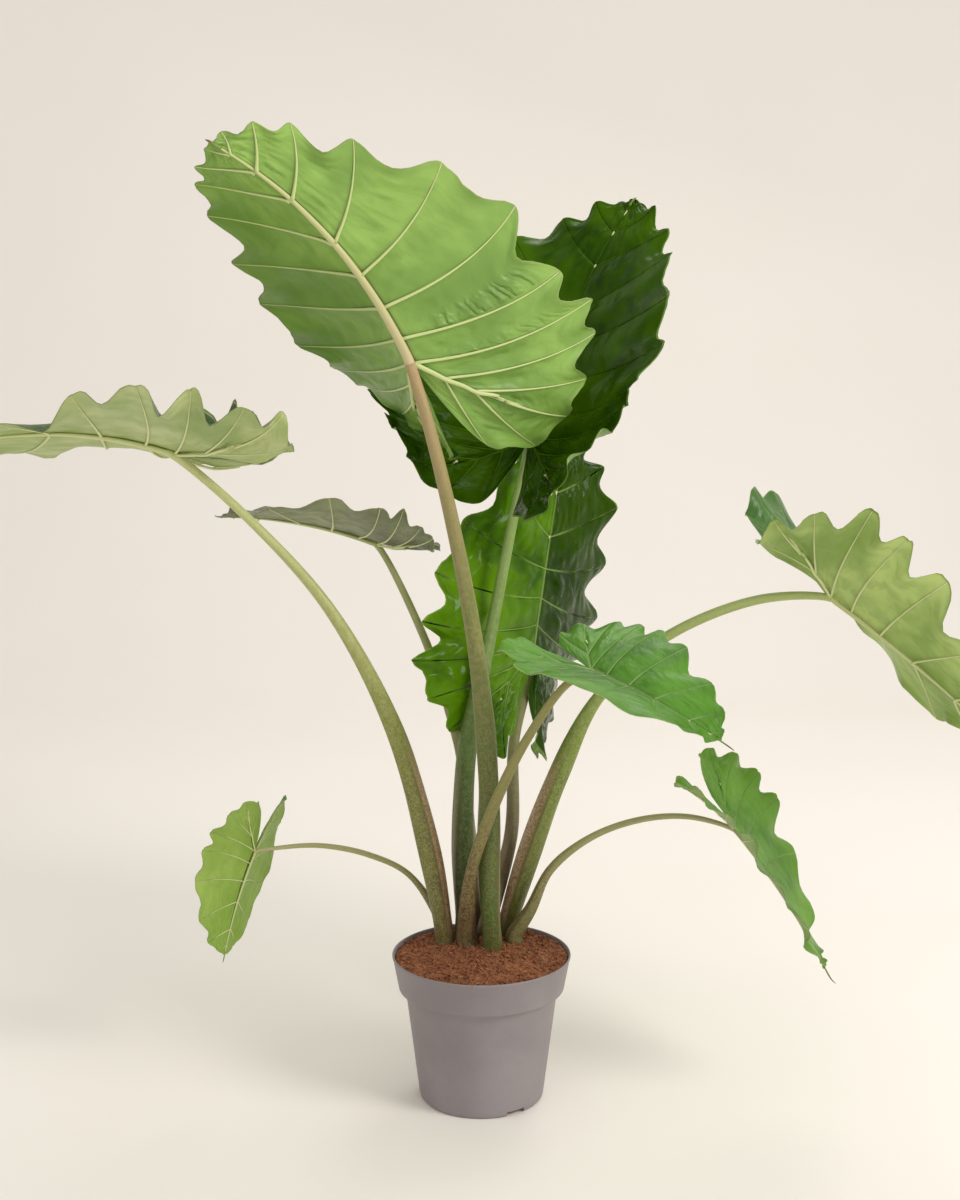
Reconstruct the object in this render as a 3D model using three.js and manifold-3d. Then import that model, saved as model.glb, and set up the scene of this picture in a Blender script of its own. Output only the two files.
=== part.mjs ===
import * as THREE from "three";
import { mergeVertices } from "three/addons/utils/BufferGeometryUtils.js";
import Module from "manifold-3d";

// A potted upright elephant ear: nine long-stalked arrowhead leaves rise from one crown
// in a nursery pot full of coir. Millimetres, +Z up, -Y is the front. The origin is the
// centre of the pot's flat foot.

const wasm = await Module();
wasm.setup();

// ---------------------------------------------------------------- driving dimensions
const CLEARANCE = 0.3; // between pieces that touch
const POT = {
  height: 197,
  rimRadius: 120,
  footRadius: 83.4,
  bandHeight: 46,
  bandFootRadius: 111.5,
  neckRadius: 102.5, // body radius right under the band
  wall: 2.4,
  floor: 3,
  drains: { count: 3, width: 27, height: 7, depth: 14, firstDeg: -57 },
  segments: 40,
};
const SOIL = { edgeHeight: 193, crownHeight: 200, ripple: 1.2 };
const CROWN = { x: -5, y: 50, radius: 58, depthRatio: 0.85, top: 170, bottom: 126, segments: 28 };
const BLADE_THICKNESS = 1.4;

// The plan of one half blade, in midrib lengths: x runs from the stalk to the apex and y
// from the midrib out. Veins 1-8 leave the midrib. The rib of the basal lobe sends 9 and
// 10 off its outer side, ends in 11, and sends 12 and 13 in towards the cleft at 14.
const VEINS = 14;
const ON_MIDRIB = [1.0, 0.93, 0.83, 0.68, 0.48, 0.34, 0.21, 0.09, 0];
const LOBE_TURN = 11;
const LOBE_RIB = { x: -0.27, y: 0.205 };
const MARGIN = [
  [1.0, 0],
  [0.985, 0.04],
  [0.945, 0.12],
  [0.86, 0.21],
  [0.7, 0.315],
  [0.45, 0.45],
  [0.21, 0.565],
  [0.01, 0.605],
  [-0.15, 0.62],
  [-0.3, 0.585],
  [-0.42, 0.48],
  [-0.5, 0.35],
  [-0.525, 0.21],
  [-0.39, 0.08],
  [-0.03, 0],
];
const BAY_SHAPE = 1.8; // higher is a narrower bay between two lobes of the margin
const BAY_VARIETY = 0.35;
const VEIN_BOW = 0.05;
const CURL_WIDTH = 0.6; // width over which a half's curl is stated
const LOBE_SPAN = 0.5; // length over which a lobe's bend is stated
// Which columns carry a side vein. Each ends in a lobe of the margin.
const MANY_VEINS = Array.from({ length: VEINS + 1 }, (_, k) => k);
const FEW_VEINS = [0, 1.2, 2.5, 3.9, 5.3, 6.7, 8, 9.6, 11, 12.4, 14];
const ROWS = [0, 0.14, 0.36, 0.6, 0.83, 1];
const STALK_SIDES = 10;
const STALK_STEPS = 3; // rings between two of its points

// Angles are in degrees. azimuth, elevation and roll set the midrib where the stalk meets
// it; bend and sweep curve it down and sideways over its length. Each half then folds up
// from the midrib, more or less towards the apex (foldGain), curls towards its margin and
// drops or lifts its basal lobe. reach lengthens or shortens single veins. bay is how far
// the margin draws in between two veins, lobeBay the same on the basal lobes, and wave how
// far the lobes stand up from the bays.
// A stalk runs from its foot through [x, y, z, radius] points to the blade.
const LEAVES = [
  {
    name: "front_tall",
    foot: [15, 8],
    footRadius: 14,
    stalk: [
      [11, 6, 337, 19],
      [10, -4, 435, 15.5],
      [-8.9, -28, 625.9, 10.8],
      [-51.7, -63, 847.1, 8.5],
    ],
    tipRadius: 6.6,
    attach: [-85, -83, 981],
    length: 401,
    azimuth: 231,
    elevation: 54,
    roll: -13,
    bend: 40,
    sweep: -7,
    width: 0.94,
    basal: 1.06,
    left: {
      fold: 34,
      foldGain: 3,
      curl: 19,
      lobe: -21,
      reach: [1, 0.96, 0.89, 0.77, 0.79, 0.9, 0.96, 0.96, 1.04, 1.05, 1.04, 1.12, 1.08, 1.03, 1],
    },
    right: {
      fold: 32,
      foldGain: -36,
      curl: -20,
      lobe: -11,
      reach: [1, 1, 1, 1, 1, 1.01, 1.05, 1.03, 0.98, 1, 1, 1, 1, 1, 1],
    },
    swell: 0.01,
    ruffle: 0.012,
    phase: 0,
    veins: MANY_VEINS,
    bay: 0.15,
    lobeBay: 0.13,
    wave: 0.012,
  },
  {
    name: "left_high",
    foot: [-50, 34],
    footRadius: 13.5,
    stalk: [
      [-70, 31, 329, 18.5],
      [-116, 22, 497, 12.5],
      [-199, 8, 661, 8],
      [-300, -5, 780, 6],
    ],
    tipRadius: 5.5,
    attach: [-391, -17, 869],
    length: 321,
    azimuth: 178,
    elevation: 18,
    roll: -22,
    bend: 42,
    sweep: 8,
    width: 1.18,
    basal: 0.96,
    left: {
      fold: -6,
      foldGain: -12,
      curl: 6,
      lobe: -22,
      reach: [1, 1, 1, 0.9, 0.82, 0.76, 0.98, 1.04, 0.9, 0.86, 0.95, 1, 1, 1, 1],
    },
    right: { fold: -2, foldGain: -18, curl: 63, lobe: -47 },
    swell: 0.012,
    ruffle: 0.02,
    phase: 1.3,
    veins: FEW_VEINS,
    bay: 0.15,
    lobeBay: 0.09,
    wave: 0.035,
  },
  {
    name: "left_back",
    foot: [-5, 95],
    footRadius: 12,
    stalk: [
      [-26, 122, 424, 8],
      [-39, 134, 479, 7],
      [-80, 164, 597, 5.8],
    ],
    tipRadius: 4.4,
    attach: [-149, 209, 732],
    length: 228,
    azimuth: 183,
    elevation: 20,
    roll: 0,
    bend: 20,
    sweep: 12,
    width: 1.05,
    basal: 0.74,
    left: { fold: 8, foldGain: 4, curl: 29, lobe: -24 },
    right: { fold: -4, foldGain: 10, curl: 11, lobe: -46 },
    swell: 0.012,
    ruffle: 0.022,
    phase: 2.6,
    veins: FEW_VEINS,
    bay: 0.1,
    lobeBay: 0.09,
    wave: 0.014,
  },
  {
    name: "back_tall",
    foot: [-24, 62],
    footRadius: 14,
    stalk: [
      [-27, 67, 319, 18.5],
      [-20.1, 92, 454.3, 14],
      [8.2, 133, 587.2, 9.3],
      [47.4, 190, 776.7, 7],
    ],
    tipRadius: 6,
    attach: [69, 234, 883],
    length: 444,
    azimuth: 58,
    elevation: 62,
    roll: -9,
    bend: 13,
    sweep: -12,
    width: 1.01,
    basal: 0.86,
    left: {
      fold: 30,
      foldGain: -41,
      curl: 15,
      lobe: -38,
      reach: [1, 1, 1, 1, 1, 1, 1, 0.96, 0.89, 0.8, 0.87, 0.94, 1, 1, 1],
    },
    right: { fold: 31, foldGain: -26, curl: 16, lobe: -20 },
    swell: 0.014,
    ruffle: 0.016,
    phase: 3.9,
    veins: MANY_VEINS,
    bay: 0.13,
    lobeBay: 0.12,
    wave: 0.014,
  },
  {
    name: "centre",
    foot: [6, 60],
    footRadius: 14,
    stalk: [
      [41.5, 120, 322.7, 10],
      [48, 218, 438, 8],
      [69, 276, 515, 6.8],
    ],
    tipRadius: 6,
    attach: [79, 253, 575],
    length: 339,
    azimuth: 56,
    elevation: 76,
    roll: -93,
    bend: 0,
    sweep: -4,
    width: 1.11,
    basal: 0.94,
    left: { fold: -5, foldGain: -13, curl: -22, lobe: -5 },
    right: { fold: -4, foldGain: 35, curl: -15, lobe: -16 },
    swell: 0.02,
    ruffle: 0.026,
    phase: 5.2,
    veins: MANY_VEINS,
    bay: 0.15,
    lobeBay: 0.14,
    wave: 0.02,
  },
  {
    name: "front_low",
    foot: [-20, 26],
    footRadius: 16,
    stalk: [
      [-15, -11, 306, 9.5],
      [3, -29, 372, 8],
      [27, -47, 437, 7],
      [56, -64, 500, 6],
      [106, -87, 578, 5],
    ],
    tipRadius: 4.2,
    attach: [137, -99, 601],
    length: 193,
    azimuth: -42,
    elevation: -12,
    roll: -11,
    bend: 22,
    sweep: 12,
    width: 1.11,
    basal: 0.92,
    left: { fold: 12, foldGain: 11, curl: -12, lobe: -3 },
    right: {
      fold: 12,
      foldGain: 4,
      curl: 9,
      lobe: -20,
      reach: [1, 1, 1, 1, 1, 1, 0.94, 0.93, 0.95, 0.8, 1, 1, 1, 1, 1],
    },
    swell: 0.01,
    ruffle: 0.014,
    phase: 6.5,
    veins: FEW_VEINS,
    bay: 0.12,
    lobeBay: 0.05,
    wave: 0.016,
  },
  {
    name: "right_high",
    foot: [36, 76],
    footRadius: 15,
    stalk: [
      [67, 72, 316, 19],
      [108, 70, 430, 15],
      [159, 68, 532, 8.3],
      [248, 65, 615, 7],
      [374, 60, 668, 6.3],
    ],
    tipRadius: 5,
    attach: [472, 58, 674],
    length: 276,
    azimuth: -11,
    elevation: -37,
    roll: 9,
    bend: 9,
    sweep: -25,
    width: 1.1,
    basal: 0.99,
    left: { fold: 20, foldGain: -52, curl: -15, lobe: 17 },
    right: { fold: 19, foldGain: 15, curl: 25, lobe: 20 },
    swell: 0.012,
    ruffle: 0.018,
    phase: 7.8,
    veins: FEW_VEINS,
    bay: 0.17,
    lobeBay: 0.09,
    wave: 0.03,
  },
  {
    name: "left_low",
    foot: [-52, 72],
    footRadius: 10,
    stalk: [
      [-99, 69, 282, 4.5],
      [-154, 65, 312, 4],
      [-222, 60, 327, 3.5],
      [-283, 54, 325, 2.8],
    ],
    tipRadius: 2.2,
    attach: [-311, 51, 322],
    length: 146,
    azimuth: 196,
    elevation: -67,
    roll: -37,
    bend: 15,
    sweep: 4,
    width: 1.08,
    basal: 0.97,
    left: { fold: 18, foldGain: 24, curl: -3, lobe: -9 },
    right: { fold: 18, foldGain: -23, curl: -17, lobe: 21 },
    swell: 0.008,
    ruffle: 0.014,
    phase: 9.1,
    veins: FEW_VEINS,
    bay: 0.09,
    lobeBay: 0.06,
    wave: 0.014,
  },
  {
    name: "right_low",
    foot: [44, 42],
    footRadius: 14,
    stalk: [
      [66, 41, 242, 10.5],
      [93, 38, 299, 6.7],
      [147, 32, 346, 4.8],
      [214, 26, 373, 4.3],
      [280, 18, 379, 3.8],
    ],
    tipRadius: 3,
    attach: [340, 10, 366],
    length: 216,
    azimuth: -19,
    elevation: -49,
    roll: 6,
    bend: 12,
    sweep: -6,
    width: 1.03,
    basal: 0.94,
    left: {
      fold: 6,
      foldGain: -14,
      curl: 29,
      lobe: -2,
      reach: [1, 1, 1, 1, 1, 1, 1, 1, 0.98, 0.93, 0.88, 0.94, 1, 1, 1],
    },
    right: { fold: 5, foldGain: -1, curl: 14, lobe: 24 },
    swell: 0.01,
    ruffle: 0.02,
    phase: 10.4,
    veins: FEW_VEINS,
    bay: 0.13,
    lobeBay: 0.09,
    wave: 0.02,
  },
];

// ---------------------------------------------------------------- colours
const COLOURS = {
  pot: 0x8a8083,
  coir: 0x74422f,
  crown: 0x6b5a35,
  blade: 0x4f7f3a,
  stalk: 0x8a8c58,
};
const ROUGHNESS = { pot: 0.6, coir: 1, crown: 0.9, blade: 0.45, stalk: 0.6 };

function material(kind) {
  return new THREE.MeshStandardMaterial({
    color: COLOURS[kind],
    roughness: ROUGHNESS[kind],
    metalness: 0,
  });
}

// ---------------------------------------------------------------- solids
function closed(geometry) {
  geometry.deleteAttribute("normal");
  geometry.deleteAttribute("uv");
  return mergeVertices(geometry, 1e-4);
}

function solidOf(geometry) {
  const merged = closed(geometry);
  return new wasm.Manifold(
    new wasm.Mesh({
      numProp: 3,
      vertProperties: Float32Array.from(merged.attributes.position.array),
      triVerts: Uint32Array.from(merged.index.array),
    }),
  );
}

function geometryOf(solid) {
  const mesh = solid.getMesh();
  const geometry = new THREE.BufferGeometry();
  geometry.setAttribute("position", new THREE.BufferAttribute(mesh.vertProperties, 3));
  geometry.setIndex(new THREE.BufferAttribute(mesh.triVerts, 1));
  return geometry;
}

// A solid of revolution about Z from [radius, height] points that go up the outside.
function turned(points, segments) {
  const profile = points.map(([r, z]) => new THREE.Vector2(r, z));
  return new THREE.LatheGeometry(profile, segments).rotateX(Math.PI / 2);
}

function upright(radius, bottom, top, segments) {
  const geometry = new THREE.CylinderGeometry(radius, radius, top - bottom, segments);
  return geometry.rotateX(Math.PI / 2).translate(0, 0, (top + bottom) / 2);
}

// ---------------------------------------------------------------- pot
function bodyRadius(z) {
  const top = POT.height - POT.bandHeight;
  return THREE.MathUtils.mapLinear(z, 0, top, POT.footRadius, POT.neckRadius);
}

function innerRadius(z) {
  const step = POT.height - POT.bandHeight + 2;
  if (z < step) return bodyRadius(z) - POT.wall;
  return THREE.MathUtils.mapLinear(z, step, POT.height, POT.bandFootRadius, POT.rimRadius) - POT.wall;
}

function potGeometry() {
  const { height, rimRadius, footRadius, bandFootRadius, neckRadius, wall, floor } = POT;
  const bandFoot = height - POT.bandHeight;
  const solid = solidOf(
    turned(
      [
        [0, 0],
        [footRadius - 4, 0],
        [footRadius - 1, 1],
        [footRadius + 0.4, 4],
        [neckRadius - 0.8, bandFoot - 5],
        [neckRadius + 2.5, bandFoot - 1.5],
        [bandFootRadius - 2, bandFoot],
        [bandFootRadius, bandFoot + 1.5],
        [rimRadius - 0.6, height - 4],
        [rimRadius, height - 2],
        [rimRadius - 0.8, height],
        [rimRadius - wall + 0.2, height],
        [innerRadius(height - 3), height - 3],
        [innerRadius(bandFoot + 6), bandFoot + 6],
        [innerRadius(bandFoot - 3), bandFoot - 3],
        [innerRadius(floor + 4), floor + 4],
        [innerRadius(floor) - 3, floor],
        [0, floor],
      ],
      POT.segments,
    ),
  );
  return geometryOf(cutDrains(solid));
}

// Low drain slots where the wall meets the floor.
function cutDrains(solid) {
  const { count, width, height, depth, firstDeg } = POT.drains;
  let cut = solid;
  for (let i = 0; i < count; i++) {
    const angle = THREE.MathUtils.degToRad(firstDeg + (360 / count) * i);
    const slot = new THREE.BoxGeometry(depth * 2, width, height + 2)
      .translate(POT.footRadius, 0, height / 2 - 1)
      .rotateZ(angle);
    cut = cut.subtract(solidOf(slot));
  }
  return cut;
}

// ---------------------------------------------------------------- soil and crown
function soilGeometry(leaves) {
  const { edgeHeight, crownHeight, ripple } = SOIL;
  const bandFoot = POT.height - POT.bandHeight;
  const inside = (z) => innerRadius(z) - CLEARANCE;
  const bottom = POT.floor + CLEARANCE;
  let soil = solidOf(
    turned(
      [
        [0, bottom],
        [inside(bottom) - 3.5, bottom],
        [inside(bottom + 4.5), bottom + 4.5],
        [inside(bandFoot - 3), bandFoot - 3],
        [inside(bandFoot + 6.5), bandFoot + 6.5],
        [inside(edgeHeight - 2), edgeHeight - 2],
        [inside(edgeHeight) - 3, edgeHeight],
        [92, edgeHeight + 1 + ripple],
        [70, (edgeHeight + crownHeight) / 2 + ripple],
        [40, crownHeight],
        [0, crownHeight - ripple],
      ],
      POT.segments,
    ),
  );
  for (const leaf of leaves) {
    const [x, y] = leaf.foot;
    const hole = upright(leaf.footRadius + 2 * CLEARANCE, CROWN.top - 1, 230, 20);
    soil = soil.subtract(solidOf(hole.translate(x, y, 0)));
  }
  return geometryOf(soil.subtract(solidOf(crownBody(CLEARANCE))));
}

// The short rootstock that carries every stalk, buried in the soil. grow widens it on all
// sides to make the pocket that it lies in.
function crownBody(grow) {
  const { x, y, radius, depthRatio, top, bottom, segments } = CROWN;
  return turned(
    [
      [0, bottom - grow],
      [radius * 0.55 + grow, bottom - grow],
      [radius * 0.9 + grow, bottom + 12],
      [radius + 1 + grow, top - 8],
      [radius + 1 + grow, top + grow],
      [0, top + grow],
    ],
    segments,
  )
    .scale(1, depthRatio, 1)
    .translate(x, y, 0);
}

// ---------------------------------------------------------------- blades
function radians(deg) {
  return THREE.MathUtils.degToRad(deg);
}

// A smooth curve through evenly numbered values.
function through(values, t) {
  const last = values.length - 1;
  const i = Math.min(Math.floor(t), last - 1);
  const [p0, p1, p2, p3] = [i - 1, i, i + 1, i + 2].map((k) => values[THREE.MathUtils.clamp(k, 0, last)]);
  const f = t - i;
  return (
    p1 +
    0.5 * f * (p2 - p0 + f * (2 * p0 - 5 * p1 + 4 * p2 - p3 + f * (3 * (p1 - p2) + p3 - p0)))
  );
}

// Where column u starts: on the midrib, or on the basal lobe's rib.
function veinFoot(u) {
  if (u <= 8) return { x: through(ON_MIDRIB, u), y: 0 };
  const out = (u <= LOBE_TURN ? u - 8 : VEINS - u) / (LOBE_TURN - 8);
  return { x: LOBE_RIB.x * out, y: LOBE_RIB.y * out };
}

// The bay between two veins that column u lies in, and how far across it, from 0 to 1.
function bayOf(leaf, u) {
  let k = 0;
  while (k < leaf.veins.length - 2 && u >= leaf.veins[k + 1]) k++;
  return { k, share: (u - leaf.veins[k]) / (leaf.veins[k + 1] - leaf.veins[k]) };
}

// How much the bays shorten the blade at column u and row v.
function notch(leaf, side, u, v) {
  const { k, share } = bayOf(leaf, u);
  const base = THREE.MathUtils.lerp(leaf.bay, leaf.lobeBay, THREE.MathUtils.smoothstep(u, 8, 10));
  const varied = base * (1 + BAY_VARIETY * Math.sin(2.1 * k + leaf.phase + side));
  const depth = varied * (0.45 + 0.55 * THREE.MathUtils.smoothstep(u, 0, 2.5));
  return 1 - depth * v * v * Math.abs(Math.sin(Math.PI * share)) ** BAY_SHAPE;
}

// A point of the flat half blade: v runs from the rib (0) to the margin (1).
function planPoint(leaf, side, u, v) {
  const { reach } = side > 0 ? leaf.left : leaf.right;
  const foot = veinFoot(u);
  const long = (reach ? through(reach, u) : 1) * notch(leaf, side, u, v);
  const dx = (through(MARGIN.map((p) => p[0]), u) - foot.x) * long;
  const dy = (through(MARGIN.map((p) => p[1]), u) - foot.y) * long;
  const bow = 4 * VEIN_BOW * v * (1 - v) * THREE.MathUtils.clamp((10 - u) / 3, 0, 1);
  return {
    x: foot.x + dx * v - dy * bow,
    y: Math.max(foot.y + dy * v + dx * bow * 0.5, 0),
  };
}

// Sideways and upward travel along an arc that starts at angle and turns at rate.
function arc(distance, angle, rate) {
  const k = Math.abs(rate) < 1e-6 ? 1e-6 : rate;
  return [
    (Math.sin(angle + k * distance) - Math.sin(angle)) / k,
    (Math.cos(angle) - Math.cos(angle + k * distance)) / k,
  ];
}

// The leaf's own directions: along the midrib, to the left half, and up from the top face.
function leafAxes({ azimuth, elevation, roll }) {
  const [az, el, turn] = [azimuth, elevation, roll].map(radians);
  const along = new THREE.Vector3(Math.cos(el) * Math.cos(az), Math.cos(el) * Math.sin(az), Math.sin(el));
  const level = new THREE.Vector3(-Math.sin(el) * Math.cos(az), -Math.sin(el) * Math.sin(az), Math.cos(el));
  const side = new THREE.Vector3().crossVectors(level, along);
  const up = level.multiplyScalar(Math.cos(turn)).addScaledVector(side, Math.sin(turn));
  return { along, left: new THREE.Vector3().crossVectors(up, along), up };
}

// The height of the blade's own relief above its smooth form: the tissue swells between
// the veins, the lobes of the margin stand up from the bays, and the whole margin ruffles.
function relief(leaf, u, v) {
  const { share } = bayOf(leaf, u);
  const swell = leaf.swell * Math.sin(Math.PI * share) ** 2 * 4 * v * (1 - v);
  const held = THREE.MathUtils.smoothstep(u, 0, 1.5) * (1 - THREE.MathUtils.smoothstep(u, 12.5, VEINS));
  const lobes = leaf.wave * Math.cos(2 * Math.PI * share) * v ** 3 * held;
  return swell + lobes + leaf.ruffle * v * v * Math.sin(2.3 * u + leaf.phase);
}

// A point of the leaf in the part's frame. side is 1 on the left half and -1 on the right.
function bladePoint(leaf, axes, side, u, v) {
  const half = side > 0 ? leaf.left : leaf.right;
  const plan = planPoint(leaf, side, u, v);
  const x = plan.x < 0 ? plan.x * leaf.basal : plan.x;
  const y = plan.y * leaf.width;

  const mean = (leaf.left.lobe + leaf.right.lobe) / 2;
  const lobe = radians(mean + (half.lobe - mean) * Math.min(1, y / 0.06));
  const rate = x >= 0 ? -radians(leaf.bend) : -lobe / LOBE_SPAN;
  const [run, rise] = arc(x, 0, rate);
  const pitch = rate * x;

  const fold = radians(half.fold + half.foldGain * x);
  const curl = radians(half.curl) / CURL_WIDTH;
  const [out, lift] = arc(y, fold, curl);
  const tilt = fold + curl * y;
  const raise = relief(leaf, u, v) * Math.min(1, y / 0.1);
  const across = side * (out - raise * Math.sin(tilt));
  const height = lift + raise * Math.cos(tilt);

  const sweep = Math.abs(leaf.sweep) < 1e-4 ? 1e-6 : radians(leaf.sweep);
  const yaw = sweep * run;
  const ahead = -height * Math.sin(pitch);
  return new THREE.Vector3()
    .addScaledVector(axes.along, Math.sin(yaw) / sweep + ahead * Math.cos(yaw) - across * Math.sin(yaw))
    .addScaledVector(axes.left, (1 - Math.cos(yaw)) / sweep + ahead * Math.sin(yaw) + across * Math.cos(yaw))
    .addScaledVector(axes.up, rise + height * Math.cos(pitch))
    .multiplyScalar(leaf.length)
    .add(new THREE.Vector3(...leaf.attach));
}

// Where the mesh has a column: on each vein and once or twice between two, but none next
// to the apex.
function columnsOf(veins) {
  const parts = veins === MANY_VEINS ? 2 : 3;
  const columns = [0];
  for (let k = 1; k < veins.length - 1; k++) {
    const step = (veins[k + 1] - veins[k]) / parts;
    for (let i = 0; i < parts; i++) columns.push(veins[k] + i * step);
  }
  return [...columns, VEINS];
}

// The closed blade: one sheet of both halves, doubled and walled along its margin.
function bladeGeometry(leaf) {
  const axes = leafAxes(leaf);
  const columns = columnsOf(leaf.veins);
  const last = columns.length - 1;
  const points = [];
  const numbered = new Map();

  // Both halves share the midrib and the cleft, and a lobe's two flanks share its rib.
  function vertex(side, i, j) {
    const u = columns[i];
    let key = `${side},${u},${j}`;
    if (u === 0) key = "apex";
    else if (j === 0 && u <= 8) key = `midrib,${u}`;
    else if (j === 0 && u === VEINS) key = "midrib,8";
    else if (j === 0) key = `rib,${side},${Math.abs(u - LOBE_TURN).toFixed(3)}`;
    else if (u === VEINS) key = `cleft,${j}`;
    if (!numbered.has(key)) {
      numbered.set(key, points.length);
      points.push(bladePoint(leaf, axes, side, u, ROWS[j]));
    }
    return numbered.get(key);
  }

  const faces = [];
  function face(a, b, c) {
    if (a !== b && b !== c && a !== c) faces.push([a, b, c]);
  }
  for (const side of [1, -1]) {
    for (let i = 0; i < last; i++) {
      for (let j = 0; j < ROWS.length - 1; j++) {
        const [a, b] = [vertex(side, i, j), vertex(side, i + 1, j)];
        const [d, c] = [vertex(side, i, j + 1), vertex(side, i + 1, j + 1)];
        if (side > 0) {
          face(a, d, c);
          face(a, c, b);
        } else {
          face(a, c, d);
          face(a, b, c);
        }
      }
    }
  }

  const normals = points.map(() => new THREE.Vector3());
  const [e, f] = [new THREE.Vector3(), new THREE.Vector3()];
  for (const [a, b, c] of faces) {
    e.subVectors(points[b], points[a]);
    f.subVectors(points[c], points[a]).crossVectors(e, f);
    for (const k of [a, b, c]) normals[k].add(f);
  }

  const margin = [];
  for (let i = 0; i <= last; i++) margin.push(vertex(1, i, ROWS.length - 1));
  for (let i = last - 1; i > 0; i--) margin.push(vertex(-1, i, ROWS.length - 1));

  const count = points.length;
  const position = new Float32Array(count * 6);
  points.forEach((p, k) => {
    const n = normals[k].normalize().multiplyScalar(BLADE_THICKNESS / 2);
    p.clone().add(n).toArray(position, k * 3);
    p.clone().sub(n).toArray(position, (count + k) * 3);
  });
  const index = [];
  for (const [a, b, c] of faces) index.push(a, b, c, count + a, count + c, count + b);
  margin.forEach((a, k) => {
    const b = margin[(k + 1) % margin.length];
    index.push(a, count + a, b, b, count + a, count + b);
  });
  const geometry = new THREE.BufferGeometry();
  geometry.setAttribute("position", new THREE.BufferAttribute(position, 3));
  geometry.setIndex(index);
  return geometry;
}

// ---------------------------------------------------------------- stalks
// The stalk's last point, so far under the blade that its blunt end just clears it.
function stalkEnd(leaf) {
  const { up } = leafAxes(leaf);
  const attach = new THREE.Vector3(...leaf.attach);
  const before = new THREE.Vector3(...leaf.stalk.at(-1));
  const slope = attach.clone().sub(before).normalize().dot(up);
  const reach = leaf.tipRadius * Math.sqrt(1 - slope * slope);
  return attach.addScaledVector(up, -(reach + BLADE_THICKNESS / 2 + 1.5 * CLEARANCE));
}

function stalkGeometry(leaf) {
  const [x, y] = leaf.foot;
  const bottom = CROWN.top + CLEARANCE;
  const centres = [0, 26, 36].map((rise) => new THREE.Vector3(x, y, bottom + rise));
  const radii = centres.map(() => leaf.footRadius);
  for (const [px, py, pz, radius] of leaf.stalk) {
    centres.push(new THREE.Vector3(px, py, pz));
    radii.push(radius);
  }
  centres.push(stalkEnd(leaf));
  radii.push(leaf.tipRadius);
  const curve = new THREE.CatmullRomCurve3(centres, false, "centripetal");
  const inner = new THREE.Vector3(-0.5 * Math.sign(leaf.attach[0]), 0, 1).normalize();

  const spans = centres.length - 1;
  const stops = [0, 1];
  for (let i = STALK_STEPS; i < (spans - 1) * STALK_STEPS + 1; i++) stops.push(1 + i / STALK_STEPS);
  const position = [];
  for (const [i, stop] of stops.entries()) {
    const t = stop / spans;
    const centre = curve.getPoint(t);
    const tangent = i === 0 ? new THREE.Vector3(0, 0, 1) : curve.getTangent(t);
    const back = inner.clone().addScaledVector(tangent, -inner.dot(tangent)).normalize();
    const across = new THREE.Vector3().crossVectors(tangent, back);
    const radius = through(radii, stop);
    const sheath = THREE.MathUtils.smoothstep(t, 0.08, 0.2) * (1 - THREE.MathUtils.smoothstep(t, 0.3, 0.5));
    for (let k = 0; k < STALK_SIDES; k++) {
      const angle = (2 * Math.PI * k) / STALK_SIDES;
      const groove = k === 0 ? 1 - 0.3 * sheath : 1;
      centre
        .clone()
        .addScaledVector(back, Math.cos(angle) * radius * groove * (1 - 0.12 * sheath))
        .addScaledVector(across, Math.sin(angle) * radius)
        .toArray(position, position.length);
    }
  }
  const start = position.length / 3;
  centres[0].toArray(position, position.length);
  curve.getPoint(1).toArray(position, position.length);

  const index = [];
  for (let k = 0; k < STALK_SIDES; k++) {
    const next = (k + 1) % STALK_SIDES;
    const top = (stops.length - 1) * STALK_SIDES;
    index.push(start, next, k, start + 1, top + k, top + next);
    for (let i = 0; i < stops.length - 1; i++) {
      const [a, b] = [i * STALK_SIDES + k, i * STALK_SIDES + next];
      index.push(a, b, b + STALK_SIDES, a, b + STALK_SIDES, a + STALK_SIDES);
    }
  }
  const geometry = new THREE.BufferGeometry();
  geometry.setAttribute("position", new THREE.Float32BufferAttribute(position, 3));
  geometry.setIndex(index);
  return geometry;
}

// ---------------------------------------------------------------- assembly
function piece(name, geometry, kind) {
  const mesh = new THREE.Mesh(geometry, material(kind));
  mesh.name = name;
  return mesh;
}

const plant = new THREE.Group();
plant.add(piece("pot", potGeometry(), "pot"));
plant.add(piece("soil", soilGeometry(LEAVES), "coir"));
plant.add(piece("crown", closed(crownBody(0)), "crown"));
for (const leaf of LEAVES) {
  plant.add(piece(`stalk_${leaf.name}`, stalkGeometry(leaf), "stalk"));
  plant.add(piece(`blade_${leaf.name}`, bladeGeometry(leaf), "blade"));
}

export default plant;
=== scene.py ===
"""Looks of a potted upright elephant ear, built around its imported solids.

Nine arrowhead leaves on long sheathed stalks rise from a buried rootstock in a plastic
nursery pot full of coir. The leaf numbers below are in millimetres and degrees in the
frame of the solids, and every mesh is written in metres.
"""

import logging
import math
import random
from collections.abc import Callable, Sequence
from dataclasses import dataclass
from enum import Enum
from functools import reduce

import bmesh
import bpy
import numpy as np
from mathutils import Matrix, Vector, noise


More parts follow.
